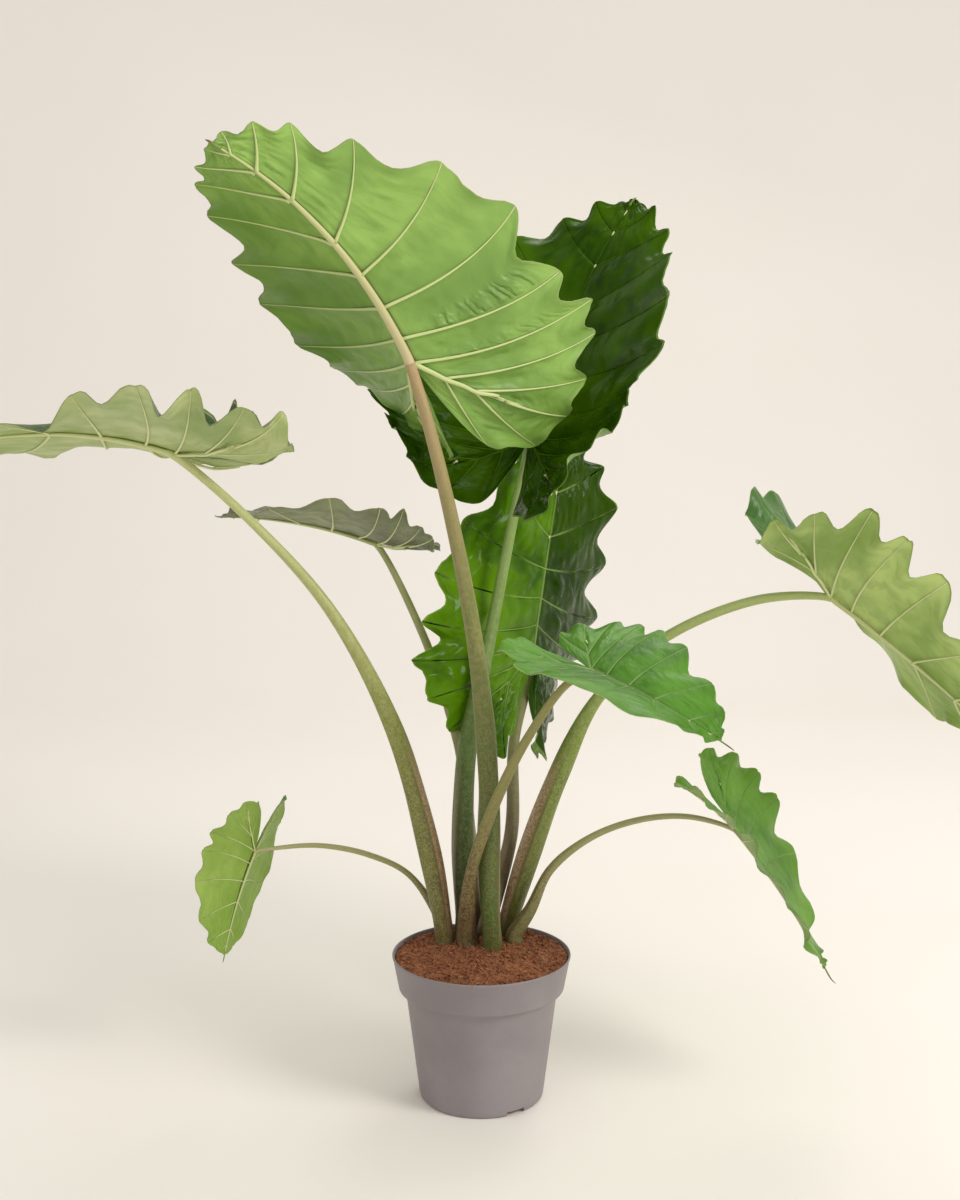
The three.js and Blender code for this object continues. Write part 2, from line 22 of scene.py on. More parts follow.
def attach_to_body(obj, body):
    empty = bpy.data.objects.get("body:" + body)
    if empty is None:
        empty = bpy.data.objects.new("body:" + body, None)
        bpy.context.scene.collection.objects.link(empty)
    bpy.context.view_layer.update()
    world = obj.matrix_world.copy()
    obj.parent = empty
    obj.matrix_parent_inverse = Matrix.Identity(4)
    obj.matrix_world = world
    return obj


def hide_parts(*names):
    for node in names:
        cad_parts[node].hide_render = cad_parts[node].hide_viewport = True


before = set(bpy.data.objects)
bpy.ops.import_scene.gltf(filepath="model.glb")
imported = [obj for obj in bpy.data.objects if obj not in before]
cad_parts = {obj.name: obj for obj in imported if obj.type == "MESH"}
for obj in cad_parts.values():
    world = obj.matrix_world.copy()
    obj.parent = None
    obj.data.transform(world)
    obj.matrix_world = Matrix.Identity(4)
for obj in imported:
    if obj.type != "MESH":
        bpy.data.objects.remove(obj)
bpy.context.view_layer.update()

log = logging.getLogger("elephant_ear")

Array = np.ndarray
Mesh = bmesh.types.BMesh
Grid = list[list[bmesh.types.BMVert]]
Material = bpy.types.Material
Socket = bpy.types.NodeSocket
Tint = tuple[float, float, float]
Point = tuple[float, float, float]

MM = 0.001
SEED = 7


class Side(Enum):
    """The two halves of a blade, seen from its tip with the upper face up."""

    LEFT = 1
    RIGHT = -1


class Slot(Enum):
    """The record's material slots."""

    POT = "pot"
    COIR = "coir"
    CROWN = "crown"
    STALK = "stalk"
    BLADE = "blade"


@dataclass(frozen=True)
class Half:
    """How one half of a blade leaves the midrib, and how far its veins reach."""

    fold: float
    gain: float
    curl: float
    lobe: float
    reach: tuple[float, ...] = (1.0,) * 15


@dataclass(frozen=True)
class LeafForm:
    """One leaf: its stalk's points [x, y, z, radius] and how its blade is held."""

    name: str
    foot: tuple[float, float]
    foot_radius: float
    stalk: tuple[tuple[float, float, float, float], ...]
    tip_radius: float
    attach: Point
    length: float
    azimuth: float
    elevation: float
    roll: float
    bend: float
    sweep: float
    width: float
    basal: float
    left: Half
    right: Half
    swell: float
    ruffle: float
    phase: float
    veins: tuple[float, ...] = tuple(range(15))
    bay: float = 0.12
    lobe_bay: float = 0.09
    wave: float = 0.012

    @property
    def bay_shape(self) -> float:
        """How narrow the bays are: leaves with few lobes have broad round ones."""
        return 1.8 if len(self.veins) == VEINS + 1 else 3.0


# Where the side veins of the leaves with fewer lobes lie, among the numbered columns.
FEW_VEINS = (0, 1.2, 2.5, 3.9, 5.3, 6.7, 8, 9.6, 11, 12.4, 14)

FRONT_TALL = LeafForm(
    name="front_tall", foot=(15, 8), foot_radius=14,
    stalk=((11, 6, 337, 19), (10, -4, 435, 15.5), (-8.9, -28, 625.9, 10.8), (-51.7, -63, 847.1, 8.5)),
    tip_radius=6.6, attach=(-85, -83, 981), length=401, azimuth=231, elevation=54, roll=-13, bend=40,
    sweep=-7, width=0.94, basal=1.06,
    left=Half(
        34, 3, 19, -21, (1, 0.96, 0.89, 0.77, 0.79, 0.9, 0.96, 0.96, 1.04, 1.05, 1.04, 1.12, 1.08, 1.03, 1),
    ),
    right=Half(32, -36, -20, -11, (1, 1, 1, 1, 1, 1.01, 1.05, 1.03, 0.98, 1, 1, 1, 1, 1, 1)), swell=0.01,
    ruffle=0.012, phase=0, bay=0.15, lobe_bay=0.13,
)
LEFT_HIGH = LeafForm(
    name="left_high", foot=(-50, 34), foot_radius=13.5,
    stalk=((-70, 31, 329, 18.5), (-116, 22, 497, 12.5), (-199, 8, 661, 8), (-300, -5, 780, 6)),
    tip_radius=5.5, attach=(-391, -17, 869), length=321, azimuth=178, elevation=18, roll=-22, bend=42,
    sweep=8, width=1.18, basal=0.96,
    left=Half(-6, -12, 6, -22, (1, 1, 1, 0.9, 0.82, 0.76, 0.98, 1.04, 0.9, 0.86, 0.95, 1, 1, 1, 1)),
    right=Half(-2, -18, 63, -47), swell=0.012, ruffle=0.02, phase=1.3, veins=FEW_VEINS, bay=0.15,
    wave=0.035,
)
LEFT_BACK = LeafForm(
    name="left_back", foot=(-5, 95), foot_radius=12,
    stalk=((-26, 122, 424, 8), (-39, 134, 479, 7), (-80, 164, 597, 5.8)), tip_radius=4.4,
    attach=(-149, 209, 732), length=228, azimuth=183, elevation=20, roll=0, bend=20, sweep=12, width=1.05,
    basal=0.74, left=Half(8, 4, 29, -24), right=Half(-4, 10, 11, -46), swell=0.012, ruffle=0.022,
    phase=2.6, veins=FEW_VEINS, bay=0.1, wave=0.014,
)
BACK_TALL = LeafForm(
    name="back_tall", foot=(-24, 62), foot_radius=14,
    stalk=((-27, 67, 319, 18.5), (-20.1, 92, 454.3, 14), (8.2, 133, 587.2, 9.3), (47.4, 190, 776.7, 7)),
    tip_radius=6, attach=(69, 234, 883), length=444, azimuth=58, elevation=62, roll=-9, bend=13,
    sweep=-12, width=1.01, basal=0.86,
    left=Half(30, -41, 15, -38, (1, 1, 1, 1, 1, 1, 1, 0.96, 0.89, 0.8, 0.87, 0.94, 1, 1, 1)),
    right=Half(31, -26, 16, -20), swell=0.014, ruffle=0.016, phase=3.9, bay=0.13, lobe_bay=0.12,
    wave=0.014,
)
CENTRE = LeafForm(
    name="centre", foot=(6, 60), foot_radius=14,
    stalk=((41.5, 120, 322.7, 10), (48, 218, 438, 8), (69, 276, 515, 6.8)), tip_radius=6,
    attach=(79, 253, 575), length=339, azimuth=56, elevation=76, roll=-93, bend=0, sweep=-4, width=1.11,
    basal=0.94, left=Half(-5, -13, -22, -5), right=Half(-4, 35, -15, -16), swell=0.02, ruffle=0.026,
    phase=5.2, bay=0.15, lobe_bay=0.14, wave=0.02,
)
FRONT_LOW = LeafForm(
    name="front_low", foot=(-20, 26), foot_radius=16,
    stalk=(
        (-15, -11, 306, 9.5), (3, -29, 372, 8), (27, -47, 437, 7), (56, -64, 500, 6), (106, -87, 578, 5),
    ),
    tip_radius=4.2, attach=(137, -99, 601), length=193, azimuth=-42, elevation=-12, roll=-11, bend=22,
    sweep=12, width=1.11, basal=0.92, left=Half(12, 11, -12, -3),
    right=Half(12, 4, 9, -20, (1, 1, 1, 1, 1, 1, 0.94, 0.93, 0.95, 0.8, 1, 1, 1, 1, 1)), swell=0.01,
    ruffle=0.014, phase=6.5, veins=FEW_VEINS, lobe_bay=0.05, wave=0.016,
)
RIGHT_HIGH = LeafForm(
    name="right_high", foot=(36, 76), foot_radius=15,
    stalk=(
        (67, 72, 316, 19), (108, 70, 430, 15), (159, 68, 532, 8.3), (248, 65, 615, 7), (374, 60, 668, 6.3),
    ),
    tip_radius=5, attach=(472, 58, 674), length=276, azimuth=-11, elevation=-37, roll=9, bend=9,
    sweep=-25, width=1.1, basal=0.99, left=Half(20, -52, -15, 17), right=Half(19, 15, 25, 20),
    swell=0.012, ruffle=0.018, phase=7.8, veins=FEW_VEINS, bay=0.17, wave=0.03,
)
LEFT_LOW = LeafForm(
    name="left_low", foot=(-52, 72), foot_radius=10,
    stalk=((-99, 69, 282, 4.5), (-154, 65, 312, 4), (-222, 60, 327, 3.5), (-283, 54, 325, 2.8)),
    tip_radius=2.2, attach=(-311, 51, 322), length=146, azimuth=196, elevation=-67, roll=-37, bend=15,
    sweep=4, width=1.08, basal=0.97, left=Half(18, 24, -3, -9), right=Half(18, -23, -17, 21), swell=0.008,
    ruffle=0.014, phase=9.1, veins=FEW_VEINS, bay=0.09, lobe_bay=0.06, wave=0.014,
)
RIGHT_LOW = LeafForm(
    name="right_low", foot=(44, 42), foot_radius=14,
    stalk=(
        (66, 41, 242, 10.5), (93, 38, 299, 6.7), (147, 32, 346, 4.8), (214, 26, 373, 4.3),
        (280, 18, 379, 3.8),
    ),
    tip_radius=3, attach=(340, 10, 366), length=216, azimuth=-19, elevation=-49, roll=6, bend=12,
    sweep=-6, width=1.03, basal=0.94,
    left=Half(6, -14, 29, -2, (1, 1, 1, 1, 1, 1, 1, 1, 0.98, 0.93, 0.88, 0.94, 1, 1, 1)),
    right=Half(5, -1, 14, 24), swell=0.01, ruffle=0.02, phase=10.4, veins=FEW_VEINS, bay=0.13, wave=0.02,
)

# The plan of a half blade in midrib lengths. Columns are numbered by vein: those up to the
# stalk leave the midrib, and the later ones leave the basal lobe's rib.
VEINS = 14
STALK_COLUMN = 8
LOBE_TURN = 11
ON_MIDRIB = np.array([1.0, 0.93, 0.83, 0.68, 0.48, 0.34, 0.21, 0.09, 0])
LOBE_RIB = (-0.27, 0.205)
MARGIN = np.array(
    [
        (1.0, 0), (0.985, 0.04), (0.945, 0.12), (0.86, 0.21), (0.7, 0.315), (0.45, 0.45), (0.21, 0.565),
        (0.01, 0.605), (-0.15, 0.62), (-0.3, 0.585), (-0.42, 0.48), (-0.5, 0.35), (-0.525, 0.21),
        (-0.39, 0.08), (-0.03, 0),
    ]
)
VEIN_BOW = 0.05
CURL_WIDTH = 0.6
LOBE_SPAN = 0.5

# A rib's height, and how deep the upper face dips over it, for each unit of its radius.
RIB_HEIGHT = 0.75
RIB_SINK = 0.25

# Where the stalks start, in millimetres.
CLEARANCE = 0.3
CROWN_TOP = 170


def through(values: Array, t: Array) -> Array:
    """Reads a smooth curve through evenly numbered values.

    Args:
        values: The value at 0, 1, 2 and so on.
        t: Where to read it.

    Returns:
        One value for each t.
    """
    last = len(values) - 1
    i = np.minimum(np.floor(t), last - 1).astype(int)
    p0, p1, p2, p3 = (values[np.clip(i + k, 0, last)] for k in (-1, 0, 1, 2))
    f = t - i
    return p1 + 0.5 * f * (p2 - p0 + f * (2 * p0 - 5 * p1 + 4 * p2 - p3 + f * (3 * (p1 - p2) + p3 - p0)))


def through_rows(rows: Array, t: Array) -> Array:
    """Reads a smooth curve through evenly numbered points."""
    return np.stack([through(column, t) for column in rows.T], axis=1)


def arc(distance: Array, angle: Array, rate: Array) -> tuple[Array, Array]:
    """Travels along an arc.

    Args:
        distance: How far along it.
        angle: Its direction at the start, in radians.
        rate: How fast it turns.

    Returns:
        The sideways and the upward travel.
    """
    k = np.where(np.abs(rate) < 1e-6, 1e-6, rate)
    end = angle + k * distance
    return (np.sin(end) - np.sin(angle)) / k, (np.cos(angle) - np.cos(end)) / k


def smooth(low: float, high: float, x: Array | float) -> Array | float:
    """Rises smoothly from 0 at low to 1 at high."""
    t = np.clip((x - low) / (high - low), 0, 1)
    return t * t * (3 - 2 * t)


def unit(vectors: Array) -> Array:
    """Scales each row to a length of 1."""
    return vectors / np.maximum(np.linalg.norm(vectors, axis=-1, keepdims=True), 1e-9)


@dataclass
class Ring:
    """One ring of a tube: its centre, its two half axes and their scale, in millimetres."""

    centre: Array
    aside: Array
    up: Array
    radius: float
    numbers: tuple[tuple[str, float], ...] = ()


class Strand:
    """A centripetal curve through points, as the solids use for the stalks."""

    def __init__(self, points: Array) -> None:
        """Keeps the points."""
        self.points = np.asarray(points, float)

    def at(self, t: float) -> Array:
        """Reads the curve.

        Args:
            t: From 0 at its first point to 1 at its last.

        Returns:
            The place there.
        """
        last = len(self.points) - 1
        i = min(int(t * last), last - 1)
        w = t * last - i
        p1, p2 = self.points[i], self.points[i + 1]
        p0 = self.points[i - 1] if i > 0 else 2 * p1 - p2
        p3 = self.points[i + 2] if i + 2 <= last else 2 * p2 - p1
        d0, d1, d2 = (math.sqrt(np.linalg.norm(b - a)) for a, b in ((p0, p1), (p1, p2), (p2, p3)))
        m1 = ((p1 - p0) / d0 - (p2 - p0) / (d0 + d1) + (p2 - p1) / d1) * d1
        m2 = ((p2 - p1) / d1 - (p3 - p1) / (d1 + d2) + (p3 - p2) / d2) * d1
        return p1 + w * (m1 + w * (3 * (p2 - p1) - 2 * m1 - m2 + w * (2 * (p1 - p2) + m1 + m2)))

    def heading(self, t: float) -> Array:
        """Gives the unit direction of travel at t."""
        return unit(self.at(min(t + 1e-4, 1)) - self.at(max(t - 1e-4, 0)))

    def rings(self, count: int, level: Point, radius: Callable[[float], float]) -> list[Ring]:
        """Lays the rings of a round tube along the curve.

        Args:
            count: How many there are.
            level: A direction across which they are turned.
            radius: Gives the radius at each t.

        Returns:
            The rings.
        """
        rings = []
        for t in (j / (count - 1) for j in range(count)):
            heading = self.heading(t)
            first = unit(np.cross(heading, level))
            rings.append(Ring(self.at(t), first, np.cross(heading, first), radius(t)))
        return rings


def linear(tint: Tint) -> tuple[float, float, float, float]:
    """Turns a screen colour of 0 to 255 into a linear one with an alpha of 1."""
    lin = [((c / 255 + 0.055) / 1.055) ** 2.4 if c > 10 else c / 255 / 12.92 for c in tint]
    return (*lin, 1.0)


class Bench:
    """Lays out the nodes of one material."""

    def __init__(self, name: str, roughness: float, specular: float = 0.5, ior: float = 1.5) -> None:
        """Starts the material.

        Args:
            name: Its name.
            roughness: The shader's roughness where nothing else sets it.
            specular: The shader's specular level.
            ior: The shader's index of refraction.
        """
        self.material = bpy.data.materials.new(name)
        self.material.use_nodes = True
        self.nodes = self.material.node_tree.nodes
        self.nodes.clear()
        inputs = {"Roughness": roughness, "Specular IOR Level": specular, "IOR": ior}
        self.shader = self.add("BsdfPrincipled", inputs)
        self.add("OutputMaterial", {"Surface": self.shader.outputs["BSDF"]})

    def feed(self, socket: Socket, value: object) -> None:
        """Gives a socket a link or a plain value.

        Args:
            socket: The input that is set.
            value: An output to link, or the plain value.
        """
        if isinstance(value, Socket):
            self.material.node_tree.links.new(value, socket)
        else:
            socket.default_value = value

    def add(self, kind: str, inputs: dict[str | int, object], **settings: str) -> bpy.types.Node:
        """Adds a shader node.

        Args:
            kind: Its type, without the common prefix.
            inputs: A link or a plain value for each input that is set.
            settings: The values of its own options.

        Returns:
            The node.
        """
        node = self.nodes.new(f"ShaderNode{kind}")
        for option, value in settings.items():
            setattr(node, option, value)
        for key, value in inputs.items():
            self.feed(node.inputs[key], value)
        return node

    def field(self, name: str) -> Socket:
        """Reads a number that the mesh holds."""
        return self.add("Attribute", {}, attribute_name=name).outputs["Fac"]

    def place(self, stretch: Point = (1, 1, 1)) -> Socket:
        """Reads the place in the part's frame, scaled along each axis."""
        where = self.add("TexCoord", {}).outputs["Object"]
        return self.add("Mapping", {"Scale": stretch, "Vector": where}).outputs["Vector"]

    def skin(self, across: str, along: str, stretch: tuple[float, float]) -> Socket:
        """Makes coordinates that follow the surface from two numbers of the mesh.

        Args:
            across: The first number's name.
            along: The second number's name.
            stretch: The scale of each.

        Returns:
            The coordinates.
        """
        x = self.times(self.field(across), stretch[0])
        y = self.times(self.field(along), stretch[1])
        return self.add("CombineXYZ", {"X": x, "Y": y}).outputs["Vector"]

    def noise(
        self, where: Socket, scale: float, detail: float = 3, rough: float = 0.5, warp: float = 0
    ) -> Socket:
        """Adds fractal noise.

        Args:
            where: The coordinates.
            scale: How fine it is.
            detail: The number of octaves.
            rough: How strong the finer octaves are.
            warp: How much it is distorted.

        Returns:
            Its height, about 0.5.
        """
        inputs = {"Vector": where, "Scale": scale, "Detail": detail, "Roughness": rough, "Distortion": warp}
        return self.add("TexNoise", inputs).outputs["Fac"]

    def cells(self, where: Socket, scale: float, feature: str = "F1") -> Socket:
        """Adds a cell pattern and reads how far each place is from a cell's middle."""
        return self.add("TexVoronoi", {"Vector": where, "Scale": scale}, feature=feature).outputs["Distance"]

    def sum(self, operation: str, a: object, b: object = 0.0) -> Socket:
        """Works out a number from two others."""
        return self.add("Math", {0: a, 1: b}, operation=operation).outputs[0]

    def times(self, *factors: object) -> Socket:
        """Multiplies numbers from first to last."""
        return reduce(lambda a, b: self.sum("MULTIPLY", a, b), factors)

    def fade(self, value: Socket, low: float, high: float, start: float = 0, end: float = 1) -> Socket:
        """Maps a number smoothly from one range to another.

        Args:
            value: The number.
            low: Where it gives start.
            high: Where it gives end.
            start: The first result.
            end: The last result.

        Returns:
            The result.
        """
        inputs = {"Value": value, "From Min": low, "From Max": high, "To Min": start, "To Max": end}
        return self.add("MapRange", inputs, interpolation_type="SMOOTHSTEP").outputs["Result"]

    def mix(self, share: object, a: object, b: object, blend: str = "MIX") -> Socket:
        """Mixes two colours.

        Args:
            share: How much of b there is.
            a: The first colour, a link or a tint.
            b: The second colour, a link or a tint.
            blend: The way they are mixed.

        Returns:
            The mixed colour.
        """
        below, above = (c if isinstance(c, Socket) else linear(c) for c in (a, b))
        inputs = {0: share, 6: below, 7: above}
        return self.add("Mix", inputs, data_type="RGBA", blend_type=blend).outputs[2]

    def paint(self, colour: object, *coats: tuple[Socket, object]) -> Socket:
        """Lays coats over a colour, one after another.

        Args:
            colour: The colour below them, a link or a tint.
            coats: Each one's share and its colour.

        Returns:
            The colour on top.
        """
        for share, tint in coats:
            colour = self.mix(share, colour, tint)
        return colour

    def ramp(self, value: Socket, stops: list[tuple[float, Tint]]) -> Socket:
        """Reads a colour from a row of stops.

        Args:
            value: Where to read it.
            stops: Each stop's place and tint.

        Returns:
            The colour.
        """
        node = self.add("ValToRGB", {"Fac": value})
        elements = node.color_ramp.elements
        while len(elements) < len(stops):
            elements.new(0.5)
        for element, (place, tint) in zip(elements, stops):
            element.position = place
            element.color = linear(tint)
        return node.outputs["Color"]

    def relief(self, *heights: tuple[Socket, float, float]) -> Socket:
        """Turns heights into one bump, each laid over the last.

        Args:
            heights: Each height from 0 to 1, what 1 stands for in millimetres, and how much
                of it shows.

        Returns:
            The normal.
        """
        below = {}
        for height, depth, strength in heights:
            inputs = {"Strength": strength, "Distance": depth * MM, "Height": height, **below}
            below = {"Normal": self.add("Bump", inputs).outputs["Normal"]}
        return below["Normal"]

    def finish(
        self, colour: Socket, roughness: Socket | None = None, normal: Socket | None = None
    ) -> Material:
        """Ends the material.

        Args:
            colour: The base colour.
            roughness: The roughness, if it varies.
            normal: The normal, if there is relief.

        Returns:
            The material.
        """
        for key, value in (("Base Color", colour), ("Roughness", roughness), ("Normal", normal)):
            if value is not None:
                self.feed(self.shader.inputs[key], value)
        return self.material


@dataclass(frozen=True)
class BladeFinish:
    """The two faces of one blade."""

    upper: Tint = (62, 98, 26)
    upper_light: Tint = (96, 136, 48)
    under: Tint = (118, 150, 74)
    under_light: Tint = (146, 178, 96)
    vein_upper: Tint = (150, 178, 98)
    vein_under: Tint = (214, 220, 160)
    rib: Tint = (198, 204, 140)
    edge: Tint = (150, 152, 88)
    dry: Tint = (112, 78, 48)
    # painted_shade, mixed in by half_shade, darkens the right-hand half: painted shade where that half faces
    # away from the light.
    painted_shade: Tint = (20, 42, 0)
    gloss: float = 0.26
    shine: float = 0.3
    ior: float = 1.5
    vein_show: float = 0.8
    quilt: float = 1.0
    half_shade: float = 0.0
    pucker_rows: tuple[tuple[float, float, float], ...] = ()

    def puckers(self, bench: Bench) -> Socket:
        """Makes the rows of short deep puckers that lie along some veins.

        Args:
            bench: The material that they join.

        Returns:
            Their height, from 0 to 1.
        """
        across, outward, hand = (bench.field(n) for n in ("across", "outward", "hand"))
        shiver = bench.noise(bench.skin("across", "outward", (2.5, 9)), 1, 2, 0.5)
        turn = bench.sum("ADD", bench.times(outward, 84), bench.times(shiver, 15))
        wave = bench.sum("ADD", bench.times(bench.sum("SINE", turn), 0.5), 0.5)
        total = bench.times(wave, 0)
        for vein, side, depth in self.pucker_rows:
            window = bench.times(
                bench.fade(across, vein - 0.5, vein - 0.25),
                bench.fade(across, vein - 0.1, vein - 0.03, depth, 0),
                bench.fade(outward, 0.12, 0.3),
                bench.fade(outward, 0.8, 0.95, 1, 0.2),
                bench.fade(hand, 0.4, 0.6, 1 - side, side),
            )
            total = bench.sum("MAXIMUM", total, bench.times(wave, window))
        return total

    def make(self, name: str) -> Material:
        """Builds the material.

        Args:
            name: The blade's name.

        Returns:
            The material, which reads the blade's own numbers.
        """
        bench = Bench(f"blade_{name}", self.gloss, self.shine, self.ior)
        where = bench.place()
        under, vein, shade, hand, rib, edge, dry = (
            bench.field(n) for n in ("under", "vein", "shade", "hand", "rib", "edge", "dry")
        )
        cloud = bench.noise(where, 8, 3, 0.5, 0.3)
        fleck = bench.noise(where, 60, 4, 0.6)
        fold = bench.noise(bench.skin("across", "outward", (1.6, 7)), 1, 3, 0.55, 0.4)
        cells = bench.cells(bench.skin("across", "outward", (3.0, 11)), 1, "SMOOTH_F1")
        row = self.puckers(bench)

        upper = bench.paint(
            self.upper,
            (bench.fade(cloud, 0.35, 0.68), self.upper_light),
            (bench.fade(cells, 0.2, 0.75, 0.35, 0), self.upper_light),
            (bench.fade(fleck, 0.4, 0.75, 0, 0.25), self.upper_light),
            # Painted shade over the right-hand half.
            (bench.fade(hand, 0.4, 0.6, self.half_shade, 0), self.painted_shade),
            (bench.times(vein, self.vein_show), self.vein_upper),
        )
        lower = bench.paint(
            self.under,
            (bench.fade(cloud, 0.33, 0.66), self.under_light),
            (bench.fade(fold, 0.4, 0.65, 0, 0.45), self.under),
        )
        # Painted shade: the underside is darkened beside the veins and ribs and over the pucker rows.
        for share in (bench.times(shade, 0.2), bench.times(row, 0.16)):
            lower = bench.mix(share, lower, self.under, "MULTIPLY")
        lower = bench.mix(vein, lower, bench.mix(rib, self.vein_under, self.rib))
        colour = bench.paint(upper, (under, lower), (bench.times(edge, 0.45), self.edge), (dry, self.dry))

        flat = bench.sum("SUBTRACT", 1.0, vein)
        normal = bench.relief(
            (bench.times(cells, flat), 3.0, 0.5 * self.quilt),
            (bench.times(fold, flat), 4.0, 0.4),
            (row, 2.6, 0.9),
            (fleck, 0.5, 0.4),
        )
        dull = bench.fade(fleck, 0.3, 0.75, self.gloss, self.gloss + 0.12)
        rough = bench.sum("ADD", dull, bench.times(under, 0.16))
        return bench.finish(colour, rough, normal)


@dataclass(frozen=True)
class StalkFinish:
    """The skin of one stalk from its foot to its tip."""

    foot: Tint = (104, 112, 50)
    middle: Tint = (130, 146, 70)
    tip: Tint = (182, 190, 124)
    speckle: Tint = (92, 58, 40)
    face: Tint = (216, 188, 148)
    rust: Tint = (146, 98, 66)
    wing: Tint = (92, 70, 40)
    soiled: Tint = (104, 80, 52)
    turning: float = 0.42
    freckled: float = 0.5
    sheathed: float = 0.5

    def make(self, name: str) -> Material:
        """Builds the material.

        Args:
            name: The stalk's name.

        Returns:
            The material, which reads the stalk's own numbers.
        """
        bench = Bench(f"stalk_{name}", 0.42, 0.4)
        along, sheath, wing = (bench.field(n) for n in ("along", "sheath", "wing"))
        streak = bench.noise(bench.skin("across", "run", (1, 0.05)), 240, 4, 0.6)
        mottle = bench.noise(bench.place((1, 1, 0.7)), 150, 3, 0.65)
        blotch = bench.noise(bench.place((1, 1, 0.5)), 26, 3, 0.6)
        speck = bench.noise(bench.place(), 400, 2, 0.6)
        low = bench.fade(along, 0.2, 0.6, 1, 0.12)
        spots = bench.times(bench.fade(blotch, 0.3, 0.6, 0.45, 1), bench.fade(speck, 0.48, 0.55))
        rust = bench.times(bench.fade(speck, 0.44, 0.54), bench.fade(mottle, 0.36, 0.56, 0.35, 1))
        colour = bench.paint(
            bench.ramp(along, [(0.04, self.foot), (self.turning, self.middle), (1.0, self.tip)]),
            (bench.fade(streak, 0.35, 0.7, 0, 0.22), self.foot),
            (bench.fade(mottle, 0.42, 0.62, 0, 0.3), self.tip),
            (bench.times(bench.fade(mottle, 0.5, 0.62), low, 0.7 * self.freckled), self.speckle),
            (bench.times(spots, low, self.freckled), self.speckle),
            (bench.times(sheath, self.sheathed), self.face),
            (bench.times(rust, sheath, self.sheathed), self.rust),
            (bench.times(wing, 0.55), self.wing),
            (bench.fade(along, 0.02, 0.09, 0.45, 0), self.soiled),
        )
        normal = bench.relief((streak, 0.5, 0.5), (speck, 0.3, 0.4))
        return bench.finish(colour, bench.fade(streak, 0.3, 0.75, 0.4, 0.62), normal)


@dataclass(frozen=True)
class PlasticFinish:
    """Matt moulded plastic of the nursery pot."""

    light: Tint = (152, 144, 146)
    dark: Tint = (136, 128, 131)
    grain: Tint = (112, 104, 106)

    def make(self) -> Material:
        """Builds the material.

        Returns:
            The material.
        """
        bench = Bench("pot_plastic", 0.55, 0.4)
        where = bench.place()
        cloud = bench.noise(where, 7, 4, 0.55)
        grain = bench.noise(where, 900, 2, 0.5)
        sag = bench.noise(bench.place((1, 1, 0.25)), 26, 3, 0.5)
        colour = bench.mix(bench.fade(cloud, 0.3, 0.7), self.dark, self.light)
        colour = bench.mix(bench.fade(grain, 0.35, 0.7, 0, 0.18), colour, self.grain)
        normal = bench.relief((sag, 0.9, 0.25), (grain, 0.12, 0.5))
        return bench.finish(colour, bench.fade(cloud, 0.3, 0.7, 0.5, 0.62), normal)


@dataclass(frozen=True)
class CoirFinish:
    """Crumbly coir, from dark specks to pale fibre dust."""

    dark: Tint = (76, 42, 28)
    middle: Tint = (156, 98, 68)
    light: Tint = (196, 138, 100)

    def make(self) -> Material:
        """Builds the material.

        Returns:
            The material.
        """
        bench = Bench("coir", 0.95, 0.2)
        where = bench.place()
        crumb = bench.noise(where, 260, 5, 0.7)
        clod = bench.noise(where, 60, 3, 0.6)
        colour = bench.ramp(crumb, [(0.3, self.dark), (0.5, self.middle), (0.72, self.light)])
        colour = bench.mix(bench.fade(clod, 0.5, 0.7, 0, 0.5), colour, self.dark)
        normal = bench.relief((crumb, 3.2, 0.9), (bench.cells(where, 500), 1.0, 0.5))
        return bench.finish(colour, None, normal)


@dataclass(frozen=True)
class FibreFinish:
    """Dry pale fibre."""

    light: Tint = (206, 172, 128)
    dark: Tint = (140, 100, 66)

    def make(self) -> Material:
        """Builds the material.

        Returns:
            The material.
        """
        bench = Bench("dry_fibre", 0.8, 0.3)
        fleck = bench.noise(bench.place(), 180, 3, 0.6)
        return bench.finish(bench.mix(bench.fade(fleck, 0.35, 0.65), self.dark, self.light))


@dataclass(frozen=True)
class RootFinish:
    """Corky brown rootstock."""

    light: Tint = (140, 108, 68)
    dark: Tint = (70, 48, 30)

    def make(self) -> Material:
        """Builds the material.

        Returns:
            The material.
        """
        bench = Bench("rootstock", 0.9, 0.25)
        rings = bench.noise(bench.place((1, 1, 6)), 40, 4, 0.6)
        fleck = bench.noise(bench.place(), 220, 4, 0.6)
        colour = bench.mix(bench.fade(rings, 0.38, 0.62), self.dark, self.light)
        colour = bench.mix(bench.fade(fleck, 0.45, 0.7, 0, 0.5), colour, self.dark)
        return bench.finish(colour, None, bench.relief((rings, 1.5, 0.8)))


@dataclass(frozen=True)
class StageFinish:
    """The pale studio surface."""

    tint: Tint = (249, 245, 238)
    cloud: Tint = (232, 222, 204)

    def make(self) -> Material:
        """Builds the material.

        Returns:
            The material.
        """
        bench = Bench("studio_surface", 0.8, 0.2)
        cloud = bench.noise(bench.place(), 1.2, 2, 0.5)
        return bench.finish(bench.mix(bench.fade(cloud, 0.3, 0.7, 0, 0.08), self.tint, self.cloud))


class Piece:
    """Turns a finished bmesh into an object that rides with the frame."""

    @staticmethod
    def show(
        name: str, bm: Mesh, finishes: list[Material], slot: Slot | None, *nodes: str
    ) -> bpy.types.Object:
        """Makes the object and reports it.

        Args:
            name: The piece's name.
            bm: Its mesh, in metres.
            finishes: Its materials.
            slot: Which of the record's slots it matches, or None for the stage, which alone is left
                unattached to the root body.
            nodes: The solids that it stands for.

        Returns:
            The object.
        """
        mesh = bpy.data.meshes.new(name)
        bm.to_mesh(mesh)
        bm.free()
        for finish in finishes:
            mesh.materials.append(finish)
        mesh.shade_smooth()
        piece = bpy.data.objects.new(name, mesh)
        bpy.context.scene.collection.objects.link(piece)
        if slot is None:
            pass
        else:
            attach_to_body(piece, "root")
        if nodes:
            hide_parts(*nodes)
        log.info("%s: %d faces", name, len(mesh.polygons))
        return piece


